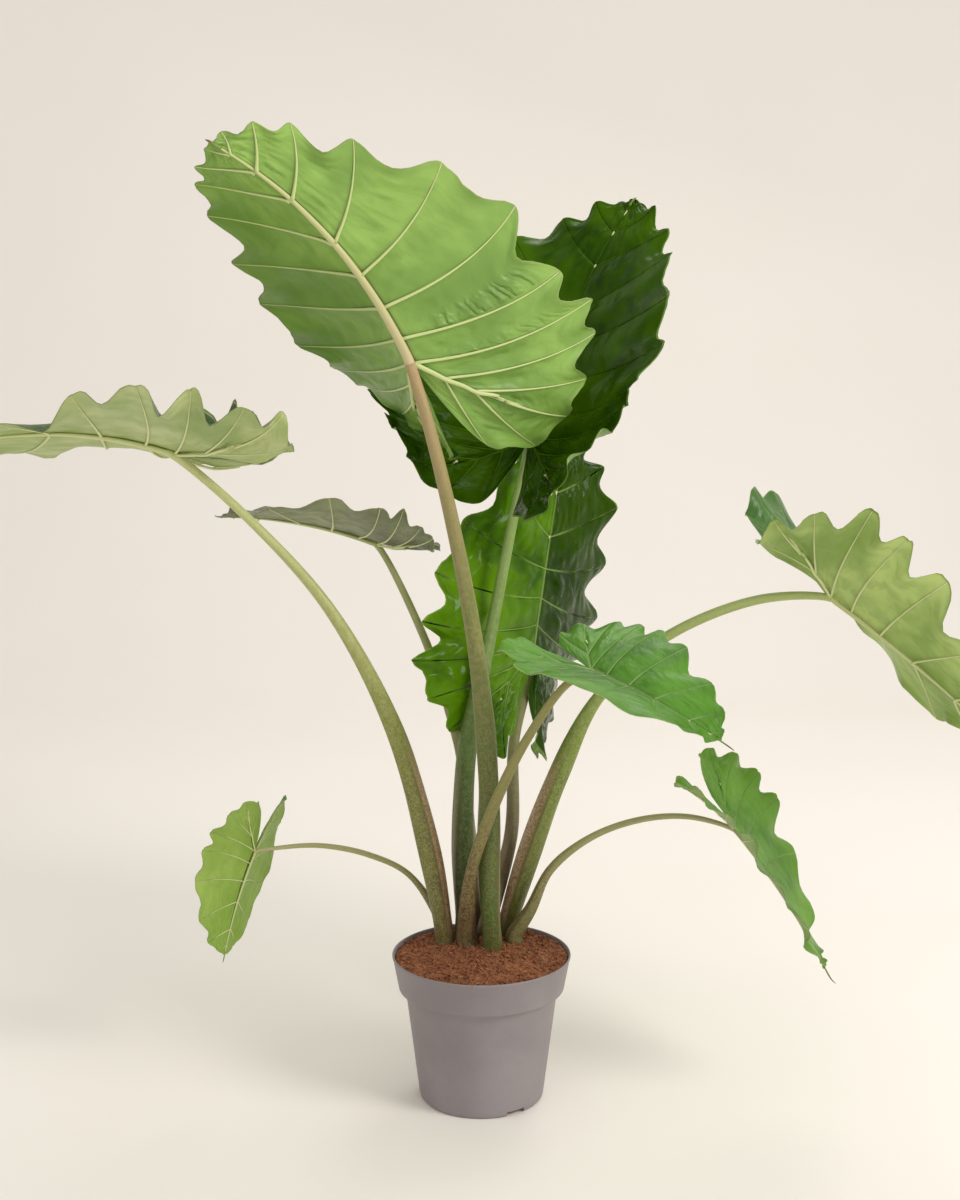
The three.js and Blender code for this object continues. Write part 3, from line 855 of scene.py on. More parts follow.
def laid_grid(bm: Mesh, columns: int, rows: int) -> Grid:
    """Adds a flat grid to be laid over a form.

    Args:
        bm: The mesh that it joins.
        columns: Points one way.
        rows: Points the other way.

    Returns:
        Its vertices, by column and row.
    """
    made = bmesh.ops.create_grid(bm, x_segments=columns - 1, y_segments=rows - 1, size=1)["verts"]
    grid = [[None] * rows for _ in range(columns)]
    for vert in made:
        i = round((vert.co.x + 1) / 2 * (columns - 1))
        j = round((vert.co.y + 1) / 2 * (rows - 1))
        grid[i][j] = vert
    return grid


def close_tube(bm: Mesh, grid: Grid, seam: float) -> None:
    """Joins a rolled grid's seam and fills its two ends.

    Args:
        bm: The mesh.
        grid: Its vertices, round and along.
        seam: How far apart joined points may be, in millimetres.
    """
    ends = [[column[row] for column in grid[:-1]] for row in (0, -1)]
    bmesh.ops.remove_doubles(bm, verts=grid[0] + grid[-1], dist=seam * MM)
    for ring in ends:
        bmesh.ops.contextual_create(bm, geom=[v for v in ring if v.is_valid])


def add_tube(bm: Mesh, sides: int, rings: list[Ring], seam: float) -> None:
    """Adds a closed tube.

    Args:
        bm: The mesh that it joins.
        sides: The points round it, with the seam's counted twice.
        rings: Its rings in order.
        seam: How far apart joined points may be, in millimetres.
    """
    layers = bm.verts.layers.float
    grid = laid_grid(bm, sides, len(rings))
    for j, ring in enumerate(rings):
        for i in range(sides):
            turn = 2 * math.pi * i / (sides - 1)
            reach = ring.aside * math.cos(turn) + ring.up * math.sin(turn)
            grid[i][j].co = (ring.centre + reach * ring.radius) * MM
            for name, number in ring.numbers:
                grid[i][j][layers[name]] = number
    close_tube(bm, grid, seam)


def spun(outline: list[tuple[float, float]], steps: int) -> Mesh:
    """Spins an outline round the upright axis.

    Args:
        outline: Its [radius, height] points in millimetres.
        steps: How many steps make a turn.

    Returns:
        The closed mesh in metres.
    """
    bm = bmesh.new()
    points = [bm.verts.new((r * MM, 0, z * MM)) for r, z in outline]
    edges = [bm.edges.new(pair) for pair in zip(points, points[1:])]
    turn = {"axis": (0, 0, 1), "cent": (0, 0, 0), "angle": 2 * math.pi}
    bmesh.ops.spin(bm, geom=points + edges, steps=steps, use_merge=True, **turn)
    bmesh.ops.remove_doubles(bm, verts=bm.verts, dist=0.01 * MM)
    bmesh.ops.recalc_face_normals(bm, faces=bm.faces)
    return bm


def rib_places(u: Array) -> tuple[Array, Array]:
    """Finds where columns leave the ribs.

    Args:
        u: The column numbers.

    Returns:
        How far along the midrib each lies, and how far out along the lobe's rib, from 0 to 1.
    """
    on_midrib = np.where(u <= STALK_COLUMN, through(ON_MIDRIB, np.minimum(u, STALK_COLUMN)), 0)
    out = np.where(u <= LOBE_TURN, u - STALK_COLUMN, VEINS - u) / (LOBE_TURN - STALK_COLUMN)
    return on_midrib, np.maximum(out, 0)


def dents(u: Array, v: Array, across: float, outward: float, seed: float) -> Array:
    """Reads smooth noise from -1 to 1 at points of a half blade, scaled both ways."""
    return np.array([noise.noise(Vector((a * across, b * outward, seed))) for a, b in zip(u, v)])


class BladeSurface:
    """The form of one blade, as in its solid, in millimetres."""

    def __init__(self, form: LeafForm) -> None:
        """Works out the leaf's own directions.

        Args:
            form: The leaf's numbers.
        """
        self.form = form
        az, el, roll = (math.radians(a) for a in (form.azimuth, form.elevation, form.roll))
        self.along = np.array([math.cos(el) * math.cos(az), math.cos(el) * math.sin(az), math.sin(el)])
        level = np.array([-math.sin(el) * math.cos(az), -math.sin(el) * math.sin(az), math.cos(el)])
        self.up = level * math.cos(roll) + np.cross(level, self.along) * math.sin(roll)
        self.left = np.cross(self.up, self.along)

    def between(self, u: Array) -> tuple[Array, Array]:
        """Finds the bay that a column lies in.

        Args:
            u: The column numbers.

        Returns:
            The number of the bay, and how far across it the column is, from 0 to 1.
        """
        veins = np.array(self.form.veins, float)
        k = np.clip(np.searchsorted(veins, u, side="right") - 1, 0, len(veins) - 2)
        return k, np.clip((u - veins[k]) / (veins[k + 1] - veins[k]), 0, 1)

    def notch(self, u: Array, v: Array, side: Side) -> Array:
        """Works out how much the bays between the lobes shorten the blade.

        Args:
            u: The column numbers.
            v: From the rib (0) to the margin (1).
            side: Which half.

        Returns:
            The share of its reach that is left.
        """
        form = self.form
        k, share = self.between(u)
        depth = form.bay + (form.lobe_bay - form.bay) * smooth(STALK_COLUMN, STALK_COLUMN + 2, u)
        uneven = 1 + 0.35 * np.sin(2.1 * k + form.phase + side.value)
        depth = depth * uneven * (0.45 + 0.55 * smooth(0, 2.5, u))
        return 1 - depth * v * v * np.sin(math.pi * share) ** form.bay_shape

    def half(self, side: Side) -> Half:
        """Gives the numbers of one half."""
        return self.form.left if side is Side.LEFT else self.form.right

    def plan(self, u: Array, v: Array, side: Side) -> tuple[Array, Array]:
        """Finds points of the flat half blade.

        Args:
            u: The column number.
            v: From the rib (0) to the margin (1).
            side: Which half.

        Returns:
            The distances along and across the midrib, in midrib lengths.
        """
        on_midrib, out = rib_places(u)
        foot_x = on_midrib + LOBE_RIB[0] * out
        foot_y = LOBE_RIB[1] * out
        scale = through(np.array(self.half(side).reach), u) * self.notch(u, v, side)
        dx = (through(MARGIN[:, 0], u) - foot_x) * scale
        dy = (through(MARGIN[:, 1], u) - foot_y) * scale
        bow = 4 * VEIN_BOW * v * (1 - v) * np.clip((STALK_COLUMN + 2 - u) / 3, 0, 1)
        return foot_x + dx * v - dy * bow, np.maximum(foot_y + dy * v + dx * bow * 0.5, 0)

    def relief(self, u: Array, v: Array) -> Array:
        """Works out the swelling between the veins and the ruffled margin.

        Args:
            u: The column numbers.
            v: From the rib (0) to the margin (1).

        Returns:
            The height at each point, in midrib lengths.
        """
        form = self.form
        share = self.between(u)[1]
        swell = form.swell * np.sin(math.pi * share) ** 2 * 4 * v * (1 - v)
        held = smooth(0, 1.5, u) * (1 - smooth(12.5, 14, u))
        lobes = form.wave * (1 - 2 * np.sin(math.pi * share) ** form.bay_shape) * v**3 * held
        return swell + lobes + form.ruffle * v * v * np.sin(2.3 * u + form.phase)

    def at(self, side: Side, u: Array, v: Array, lift_by: Array | float = 0) -> Array:
        """Finds points of the blade in the frame.

        Args:
            side: Which half.
            u: The vein number.
            v: From the rib (0) to the margin (1).
            lift_by: Extra height above the smooth form, in midrib lengths.

        Returns:
            One row of x, y and z for each point.
        """
        form, half = self.form, self.half(side)
        x, y = self.plan(u, v, side)
        x = np.where(x < 0, x * form.basal, x)
        y = y * form.width
        mean = (form.left.lobe + form.right.lobe) / 2
        lobe = np.radians(mean + (half.lobe - mean) * np.minimum(1, y / 0.06))
        rate = np.where(x >= 0, -math.radians(form.bend), -lobe / LOBE_SPAN)
        run, rise = arc(x, 0, rate)
        pitch = rate * x

        fold = np.radians(half.fold + half.gain * x)
        curl = math.radians(half.curl) / CURL_WIDTH
        out, lift = arc(y, fold, curl)
        tilt = fold + curl * y
        raised = self.relief(u, v) * np.minimum(1, y / 0.1) + lift_by
        across = side.value * (out - raised * np.sin(tilt))
        height = lift + raised * np.cos(tilt)

        sweep = math.radians(form.sweep) if abs(form.sweep) > 1e-4 else 1e-6
        yaw = sweep * run
        ahead = -height * np.sin(pitch)
        a = np.sin(yaw) / sweep + ahead * np.cos(yaw) - across * np.sin(yaw)
        b = (1 - np.cos(yaw)) / sweep + ahead * np.sin(yaw) + across * np.cos(yaw)
        c = rise + height * np.cos(pitch)
        place = a[..., None] * self.along + b[..., None] * self.left + c[..., None] * self.up
        return place * form.length + np.array(form.attach)

    def slopes(self, side: Side, u: Array, v: Array) -> tuple[Array, Array]:
        """Measures how points move with u and with v.

        Args:
            side: Which half.
            u: The column numbers.
            v: From the rib (0) to the margin (1).

        Returns:
            The two rates at each point, in millimetres.
        """
        step = 0.004
        low, high = np.clip(u - step, 0, VEINS), np.clip(u + step, 0, VEINS)
        near, far = np.clip(v - step, 0, 1), np.clip(v + step, 0, 1)
        du = (self.at(side, high, v) - self.at(side, low, v)) / (high - low)[:, None]
        dv = (self.at(side, u, far) - self.at(side, u, near)) / (far - near)[:, None]
        return du, dv

    def normals(self, side: Side, u: Array, v: Array) -> Array:
        """Gives the upper face's unit normals."""
        du, dv = self.slopes(side, u, v)
        return unit(np.cross(dv, du)) * side.value


@dataclass(frozen=True)
class Spine:
    """The one line that a stalk and its midrib follow, with its radius."""

    form: LeafForm

    def midrib(self) -> tuple[Array, Array, Array]:
        """Reads the midrib from the stalk to the apex.

        Returns:
            Its points, the upper face's normals there and the rib's radii.
        """
        surface = BladeSurface(self.form)
        u = np.array([7.45, 7, 6, 5, 4, 3, 2, 1, 0.35])
        places = surface.at(Side.LEFT, u, np.zeros_like(u))
        beside = np.full_like(u, 0.02)
        normals = unit(sum(surface.normals(side, u, beside) for side in Side))
        share = through(ON_MIDRIB, u)
        radii = self.form.tip_radius * (0.96 - 0.84 * share) + 0.2
        return places, normals, radii

    def line(self) -> tuple[Array, Array, int]:
        """Joins the stalk's middle line to the midrib's.

        Returns:
            The points, the radii, and the number of the point where the blade begins.
        """
        form = self.form
        surface = BladeSurface(form)
        bottom = CROWN_TOP + CLEARANCE
        points = [(*form.foot, bottom + rise) for rise in (0, 26, 36)]
        radii = [form.foot_radius] * 3
        for x, y, z, radius in form.stalk:
            points.append((x, y, z))
            radii.append(radius)
        attach = np.array(form.attach, float)
        slope = float(np.dot(unit(attach - np.array(points[-1])), surface.up))
        reach = form.tip_radius * math.sqrt(1 - slope * slope)
        points.append(tuple(attach - surface.up * (reach + 1.15)))
        radii.append(form.tip_radius)
        places, normals, thin = self.midrib()
        below = (RIB_HEIGHT * thin + RIB_SINK * thin)[:, None]
        return np.array([*points, *(places - normals * below)]), np.array([*radii, *thin]), len(points) - 1


@dataclass
class Blade:
    """One leaf's blade: a thin sheet with sunk veins above and raised ribs below.

    Rows of vertices gather at the ribs and at the margin, and columns at the veins.
    """

    form: LeafForm
    finish: BladeFinish
    pucker: float
    curl_tip: float
    dry_tip: float
    thickness: float = 1.0
    frill: float = 0.016
    ragged: float = 0.022
    vein_radius: float = 0.36
    rib_end: float = 0.985
    midrib_rings: int = 60
    lobe_rings: int = 16
    vein_rings: int = 22
    tip_rings: int = 16
    vein_steps: tuple[float, ...] = (0, 0.018, 0.045, 0.085, 0.14, 0.22, 0.31, 0.4, 0.5)
    inner_rows: int = 46
    edge_rows: tuple[float, ...] = (0.968, 0.982, 0.992, 1.0)

    def columns(self) -> Array:
        """Lists the vein numbers that have a column."""
        steps = sorted({*self.vein_steps, *(1 - s for s in self.vein_steps if s)})
        veins = self.form.veins
        spans = zip(veins, veins[1:])
        return np.array([a + (b - a) * s for a, b in spans for s in steps if s < 1] + [VEINS])

    def rows(self) -> Array:
        """Lists how far out each row lies."""
        inner = (np.arange(self.inner_rows) / (self.inner_rows - 1)) ** 1.4 * 0.95
        return np.concatenate([inner, self.edge_rows])

    @staticmethod
    def calm(u: Array) -> Array:
        """Falls from 1 to 0 towards the apex and the lobe's inner end."""
        return np.clip(u / 0.6, 0, 1) * np.clip((VEINS - u) / 0.8, 0, 1)

    def pleats(self, side: Side, u: Array, v: Array) -> Array:
        """Works out the fine puckers between the veins and the frilled margin.

        Args:
            side: Which half.
            u: The vein number of each point.
            v: How far out each point lies.

        Returns:
            Their height at each point, in midrib lengths.
        """
        seed = self.form.phase * 3.1 + side.value
        broad = dents(u, v, 1.6, 5.0, seed)
        fine = dents(u, v, 3.4, 13.0, seed + 5)
        frills = dents(u, v, 1.9, 1.2, seed + 11)
        share = BladeSurface(self.form).between(u)[1]
        out = (0.7 * broad + 0.45 * fine) * self.pucker * np.sin(math.pi * share) ** 2
        out = out * np.minimum(1, v * 6) * (1 - 0.3 * v)
        return out + frills * self.frill * v**5 * self.calm(u)

    def torn(self, side: Side, u: Array, v: Array) -> Array:
        """Makes the margin uneven between its lobes by moving the outer rows in or out.

        Args:
            side: Which half.
            u: The vein number of each point.
            v: How far out each point lies.

        Returns:
            How far out each point comes to lie.
        """
        seed = self.form.phase + 40 + side.value
        jag = dents(u, v, 3.2, 0, seed) + 0.6 * dents(u, np.ones_like(u), 8, 3, seed)
        return v * (1 + self.ragged * jag * v**6 * self.calm(u))

    def vein_radii(self, v: Array) -> Array:
        """Gives a side vein's radius along its length, in millimetres."""
        return self.vein_radius * self.form.tip_radius * (0.26 + 0.74 * (1 - v) ** 1.2)

    def fields(self, side: Side, u: Array, v: Array) -> dict[str, Array]:
        """Works out what the mesh and the finish need at each point.

        Args:
            side: Which half.
            u: The vein number of each point.
            v: How far out each point lies.

        Returns:
            The places, and numbers by name.
        """
        surface = BladeSurface(self.form)
        here = surface.at(side, u, self.torn(side, u, v), self.pleats(side, u, v))
        du, dv = surface.slopes(side, u, v)
        veins = np.array(self.form.veins, float)
        vein = veins[np.abs(u[:, None] - veins).argmin(axis=1)]
        off_vein = np.abs(u - vein) * np.linalg.norm(np.cross(du, unit(dv)), axis=1)
        barren = (vein == 0) | (vein == VEINS)
        width = self.vein_radii(v) * np.where(barren, 0, 1) + 1e-3

        root = surface.at(side, u, np.zeros_like(v))
        rib = surface.slopes(side, u, np.zeros_like(v))[0]
        off_rib = np.linalg.norm(np.cross(here - root, unit(rib)), axis=1)
        beyond = np.linalg.norm(here - root, axis=1)
        off_rib = np.where(np.linalg.norm(rib, axis=1) < 1, beyond, off_rib)
        on_midrib, out = rib_places(u)
        tip = self.form.tip_radius
        midrib_width = tip * (0.9 - 0.8 * on_midrib) + 0.2
        rib_width = np.where(u <= STALK_COLUMN, midrib_width, tip * (0.5 - 0.22 * out))

        vein_near, rib_near = off_vein / width, off_rib / rib_width
        sink = np.clip(1 - (vein_near / 3.5) ** 2, 0, 1) ** 2 * width * 0.8
        sink = np.maximum(sink, np.clip(1 - (rib_near / 1.8) ** 2, 0, 1) * rib_width * RIB_SINK)
        return {
            "place": here,
            "across": u,
            "outward": v,
            "hand": np.full_like(u, side is Side.LEFT, dtype=float),
            "sink": sink,
            "vein": np.maximum(1 - smooth(0.35, 1.0, vein_near), 1 - smooth(0.55, 0.95, rib_near)),
            # shade: painted shade that darkens the underside beside the raised veins and ribs.
            "shade": np.maximum(1 - smooth(0.9, 3.2, vein_near), 1 - smooth(0.9, 2.0, rib_near)),
            "edge": smooth(0.986, 0.998, v),
        }

    def build(self) -> Mesh:
        """Builds the blade.

        Returns:
            The mesh in metres, with its numbers as vertex layers.
        """
        bm = bmesh.new()
        layers = bm.verts.layers.float
        for name in ("across", "outward", "hand", "sink", "vein", "shade", "edge", "under", "dry", "rib"):
            layers.new(name)
        columns, rows = self.columns(), self.rows()
        u, v = (a.ravel() for a in np.meshgrid(columns, rows, indexing="ij"))
        for side in Side:
            grid = laid_grid(bm, len(columns), len(rows))
            verts = [vert for column in grid for vert in column]
            fields = self.fields(side, u, v)
            places = fields.pop("place") * MM
            for k, vert in enumerate(verts):
                vert.co = places[k]
                for name, values in fields.items():
                    vert[layers[name]] = values[k]
            if side is Side.LEFT:
                faces = {face for vert in verts for face in vert.link_faces}
                bmesh.ops.reverse_faces(bm, faces=list(faces))
        bmesh.ops.remove_doubles(bm, verts=bm.verts, dist=0.02 * MM)
        bmesh.ops.dissolve_degenerate(bm, edges=bm.edges, dist=0.005 * MM)
        self.thicken(bm)
        self.add_ribs(bm)
        self.add_tip(bm)
        bmesh.ops.recalc_face_normals(bm, faces=bm.faces)
        return bm

    def thicken(self, bm: Mesh) -> None:
        """Gives the sheet its lower face and its sunk veins.

        Args:
            bm: The open sheet, changed in place.
        """
        number = bm.verts.layers.int.new("number")
        layers = bm.verts.layers.float
        bm.normal_update()
        middle = {}
        for k, vert in enumerate(bm.verts):
            vert[number] = k
            middle[k] = (vert.co.copy(), vert.normal.copy())
        bmesh.ops.solidify(bm, geom=bm.faces[:], thickness=self.thickness * MM)
        for k, vert in enumerate(bm.verts):
            place, normal = middle[vert[number]]
            below = k >= len(middle)
            vert[layers["under"]] = float(below)
            push = (-0.5 if below else 0.5) * self.thickness
            push -= vert[layers["sink"]] * (1 - vert[layers["edge"]])
            vert.co = place + normal * push * MM
        bm.verts.layers.int.remove(number)

    def add_ribs(self, bm: Mesh) -> None:
        """Adds the midrib, the lobes' ribs and the side veins under the blade.

        Args:
            bm: The blade, changed in place.
        """
        spine = Spine(self.form)
        points, radii, start = spine.line()
        path = Strand(points)
        last = len(points) - 1
        ups = np.array([BladeSurface(self.form).up] * (start + 1) + list(spine.midrib()[1]))
        stops = np.linspace(start - 0.12, last, self.midrib_rings)
        centres = np.array([path.at(t / last) for t in stops])
        self.add_rib(bm, centres, unit(through_rows(ups, stops)), through(radii, stops), 1.0)

        v, half = np.linspace(0, self.rib_end, self.vein_rings), self.lobe_rings
        for side in Side:
            for vein in (k for k in self.form.veins if k not in (0, LOBE_TURN, VEINS)):
                size = 0.62 if vein < 1.5 or vein > LOBE_TURN else 0.85 if vein > STALK_COLUMN else 1
                self.add_vein(bm, side, np.full_like(v, vein), v, self.vein_radii(v) * size)
            u = np.linspace(STALK_COLUMN + 0.02, LOBE_TURN - 0.02, half)
            u = np.concatenate([u, np.full(half, float(LOBE_TURN))])
            out = np.concatenate([np.zeros(half), np.linspace(0.05, self.rib_end, half)])
            size = np.interp(np.arange(2 * half), [0, half - 1, 2 * half - 1], [0.5, 0.34, 0.1])
            self.add_vein(bm, side, u, out, self.form.tip_radius * size)

    def add_vein(self, bm: Mesh, side: Side, u: Array, v: Array, radii: Array) -> None:
        """Adds a rib that follows the blade's lower face.

        Args:
            bm: The blade, changed in place.
            side: Which half it lies on.
            u: The vein number of each of its points.
            v: How far out each point lies.
            radii: Its radius at each, in millimetres.
        """
        sunk = self.fields(side, u, v)
        normals = BladeSurface(self.form).normals(side, u, np.maximum(v, 0.02))
        depth = RIB_HEIGHT * radii + sunk["sink"] + 0.9 * radii * np.clip(1 - v / 0.07, 0, 1)
        self.add_rib(bm, sunk["place"] - normals * depth[:, None], normals, radii, 0.0)

    @staticmethod
    def add_rib(bm: Mesh, centres: Array, ups: Array, radii: Array, tan: float) -> None:
        """Sweeps a low oval along a line.

        Args:
            bm: The blade, changed in place.
            centres: The line's points, in millimetres.
            ups: The upper face's normal at each.
            radii: The half width at each.
            tan: How much of the stalk's own colour its start has.
        """
        rings = []
        headings = unit(np.gradient(centres, axis=0))
        for j, (centre, heading, above, radius) in enumerate(zip(centres, headings, ups, radii)):
            aside = unit(np.cross(heading, above))
            high = RIB_HEIGHT + (1 - RIB_HEIGHT) * tan * (1 - min(1.0, j / 8))
            numbers = (("vein", 1), ("under", 1), ("rib", tan * (1 - j / (len(centres) - 1))))
            rings.append(Ring(centre, aside, np.cross(aside, heading) * high, radius, numbers))
        add_tube(bm, 11, rings, 0.001)

    def add_tip(self, bm: Mesh) -> None:
        """Adds the slender drip tip at the apex.

        Args:
            bm: The blade, changed in place.
        """
        surface, length = BladeSurface(self.form), self.form.length
        inner, apex = surface.at(Side.LEFT, np.array([1.0, 0.3]), np.zeros(2))
        ahead = unit(apex - inner)
        aside = unit(np.cross(ahead, surface.up) + 0.6 * surface.up)
        reach = self.curl_tip * length
        course = [inner * 0.4 + apex * 0.6]
        for onward, sideways in ((0.35, 0), (0.75, 0.1), (1, 0.4)):
            course.append(apex + ahead * reach * onward + aside * reach * sideways)
        rings = Strand(course).rings(
            self.tip_rings, surface.up, lambda t: 0.0055 * length * (1 - t) ** 0.7 + 0.18
        )
        for k, ring in enumerate(rings):
            dry = self.dry_tip * smooth(0.1, 0.6, k / (len(rings) - 1))
            ring.numbers = (("vein", 0.25), ("under", 0.5), ("dry", dry))
        add_tube(bm, 9, rings, 0.01)

    def make(self) -> None:
        """Builds and dresses the blade."""
        name = self.form.name
        Piece.show(f"leaf_{name}", self.build(), [self.finish.make(name)], Slot.BLADE, f"blade_{name}")


@dataclass
class Stalk:
    """One leaf's stalk: thick and sheathed low down, slender under the blade."""

    form: LeafForm
    finish: StalkFinish
    face_turn: float
    sides: int = 36
    rings: int = 110
    groove: float = 0.2
    wing: float = 0.14
    sheath_start: float = 0.03
    sheath_end: float = 0.42
    sheath_width: float = 0.9

    def build(self) -> Mesh:
        """Builds the stalk.

        Returns:
            The mesh in metres, with its numbers as vertex layers.
        """
        bm = bmesh.new()
        layers = {n: bm.verts.layers.float.new(n) for n in ("along", "across", "run", "sheath", "wing")}
        points, radii, start = Spine(self.form).line()
        path = Strand(points)
        spans = len(points) - 1
        top = (start + 0.1) / spans
        inner = unit(np.array([-0.5 * math.copysign(1, self.form.attach[0]), 0, 1]))
        grid = laid_grid(bm, self.sides + 1, self.rings)
        line = np.array([path.at(j / (self.rings - 1) * top) for j in range(self.rings)])
        runs = np.concatenate([[0], np.cumsum(np.linalg.norm(np.diff(line, axis=0), axis=1))])
        for j, (centre, run) in enumerate(zip(line, runs)):
            stop = j / (self.rings - 1) * top
            heading, t = path.heading(stop), run / runs[-1]
            back = unit(inner - heading * np.dot(inner, heading))
            aside = np.cross(heading, back)
            radius = float(through(radii, np.array([stop * spans]))[0])
            open_by = smooth(self.sheath_start, self.sheath_start + 0.06, t)
            open_by *= 1 - smooth(self.sheath_end - 0.14, self.sheath_end, t)
            for i in range(self.sides + 1):
                turn = 2 * math.pi * i / self.sides
                off = abs((turn - math.radians(self.face_turn) + math.pi) % (2 * math.pi) - math.pi)
                dip = math.cos(min(off / self.sheath_width, 1) * math.pi / 2) ** 2
                lip = math.exp(-(((off - self.sheath_width - 0.1) / 0.12) ** 2))
                face = 1 - smooth(self.sheath_width - 0.25, self.sheath_width + 0.1, off)
                swell = 1 - self.groove * open_by * dip + self.wing * open_by * lip
                place = centre + back * (math.cos(turn) * radius * swell * (1 - 0.12 * open_by))
                place = place + aside * (math.sin(turn) * radius * swell)
                grid[i][j].co = place * MM
                numbers = (t, off * radius * MM, run * MM, open_by * face, open_by * lip)
                for layer, number in zip(layers.values(), numbers):
                    grid[i][j][layer] = number
        close_tube(bm, grid, 0.001)
        bmesh.ops.recalc_face_normals(bm, faces=bm.faces)
        return bm

    def make(self) -> None:
        """Builds and dresses the stalk."""
        name = self.form.name
        Piece.show(f"stem_{name}", self.build(), [self.finish.make(name)], Slot.STALK, f"stalk_{name}")


@dataclass
class NurseryPot:
    """The moulded pot with its deep rim band and drain slots."""

    height: float = 197
    rim_radius: float = 120
    foot_radius: float = 83.4
    band_height: float = 46
    band_foot_radius: float = 111.5
    neck_radius: float = 102.5
    wall: float = 2.4
    drains: int = 3
    drain_width: float = 27
    drain_height: float = 7
    drain_depth: float = 28
    first_drain: float = -57
    steps: int = 192

    def profile(self) -> list[tuple[float, float]]:
        """Lists the outline.

        Returns:
            Its [radius, height] points up the outside and down the inside.
        """
        foot, neck, lip, rim = self.foot_radius, self.neck_radius, self.band_foot_radius, self.rim_radius
        top, drain, wall = self.height, self.drain_height, self.wall
        band = top - self.band_height
        slim = neck - (neck - foot) * 8 / band
        return [
            (0, 0.6), (foot - 14, 0.6), (foot - 11, 0), (foot - 4, 0), (foot - 1.4, 0.8), (foot, 2.6),
            (foot + 0.6, 5), (foot + 1.1, drain + 1.5), (foot + 1.4, drain + 3.5), (slim, band - 8),
            (neck - 0.2, band - 4.5), (neck + 1.2, band - 2.2), (neck + 3.6, band - 0.8),
            (lip - 1.8, band), (lip - 0.4, band + 0.7), (lip, band + 2), (rim - 1.2, top - 5),
            (rim - 0.3, top - 3.4), (rim, top - 1.8), (rim - 0.3, top - 0.5), (rim - 1.1, top),
            (rim - 2.1, top - 0.4), (rim - wall - 0.3, top - 2), (lip - wall + 0.8, band + 6),
            (neck - wall, band - 3), (foot - wall + 1.2, drain + 3.5), (foot - wall + 0.9, drain + 1.5),
            (foot - wall - 3, 3), (0, 3),
        ]

    def drain_cutter(self) -> bpy.types.Object:
        """Builds the blocks that open the drain slots.

        Returns:
            One object that holds them.
        """
        cutter = bmesh.new()
        size = (self.drain_depth * MM, self.drain_width * MM, (self.drain_height + 2) * MM, 1)
        out = Matrix.Translation((self.foot_radius * MM, 0, (self.drain_height / 2 - 1) * MM))
        for k in range(self.drains):
            turn = Matrix.Rotation(math.radians(self.first_drain + 360 / self.drains * k), 4, "Z")
            bmesh.ops.create_cube(cutter, size=1, matrix=turn @ out @ Matrix.Diagonal(size))
        mesh = bpy.data.meshes.new("drain_cutter")
        cutter.to_mesh(mesh)
        cutter.free()
        tool = bpy.data.objects.new("drain_cutter", mesh)
        bpy.context.scene.collection.objects.link(tool)
        return tool

    def make(self) -> None:
        """Builds and dresses the pot, then cuts its drain slots."""
        outside = spun(self.profile(), self.steps)
        pot = Piece.show("nursery_pot", outside, [PlasticFinish().make()], Slot.POT, "pot")
        tool = self.drain_cutter()
        cut = pot.modifiers.new("drains", "BOOLEAN")
        cut.operation = "DIFFERENCE"
        cut.solver = "EXACT"
        cut.object = tool
        graph = bpy.context.evaluated_depsgraph_get()
        opened = bpy.data.meshes.new_from_object(pot.evaluated_get(graph))
        pot.modifiers.clear()
        opened.set_sharp_from_angle(angle=math.radians(50))
        pot.data = opened
        bpy.data.objects.remove(tool)


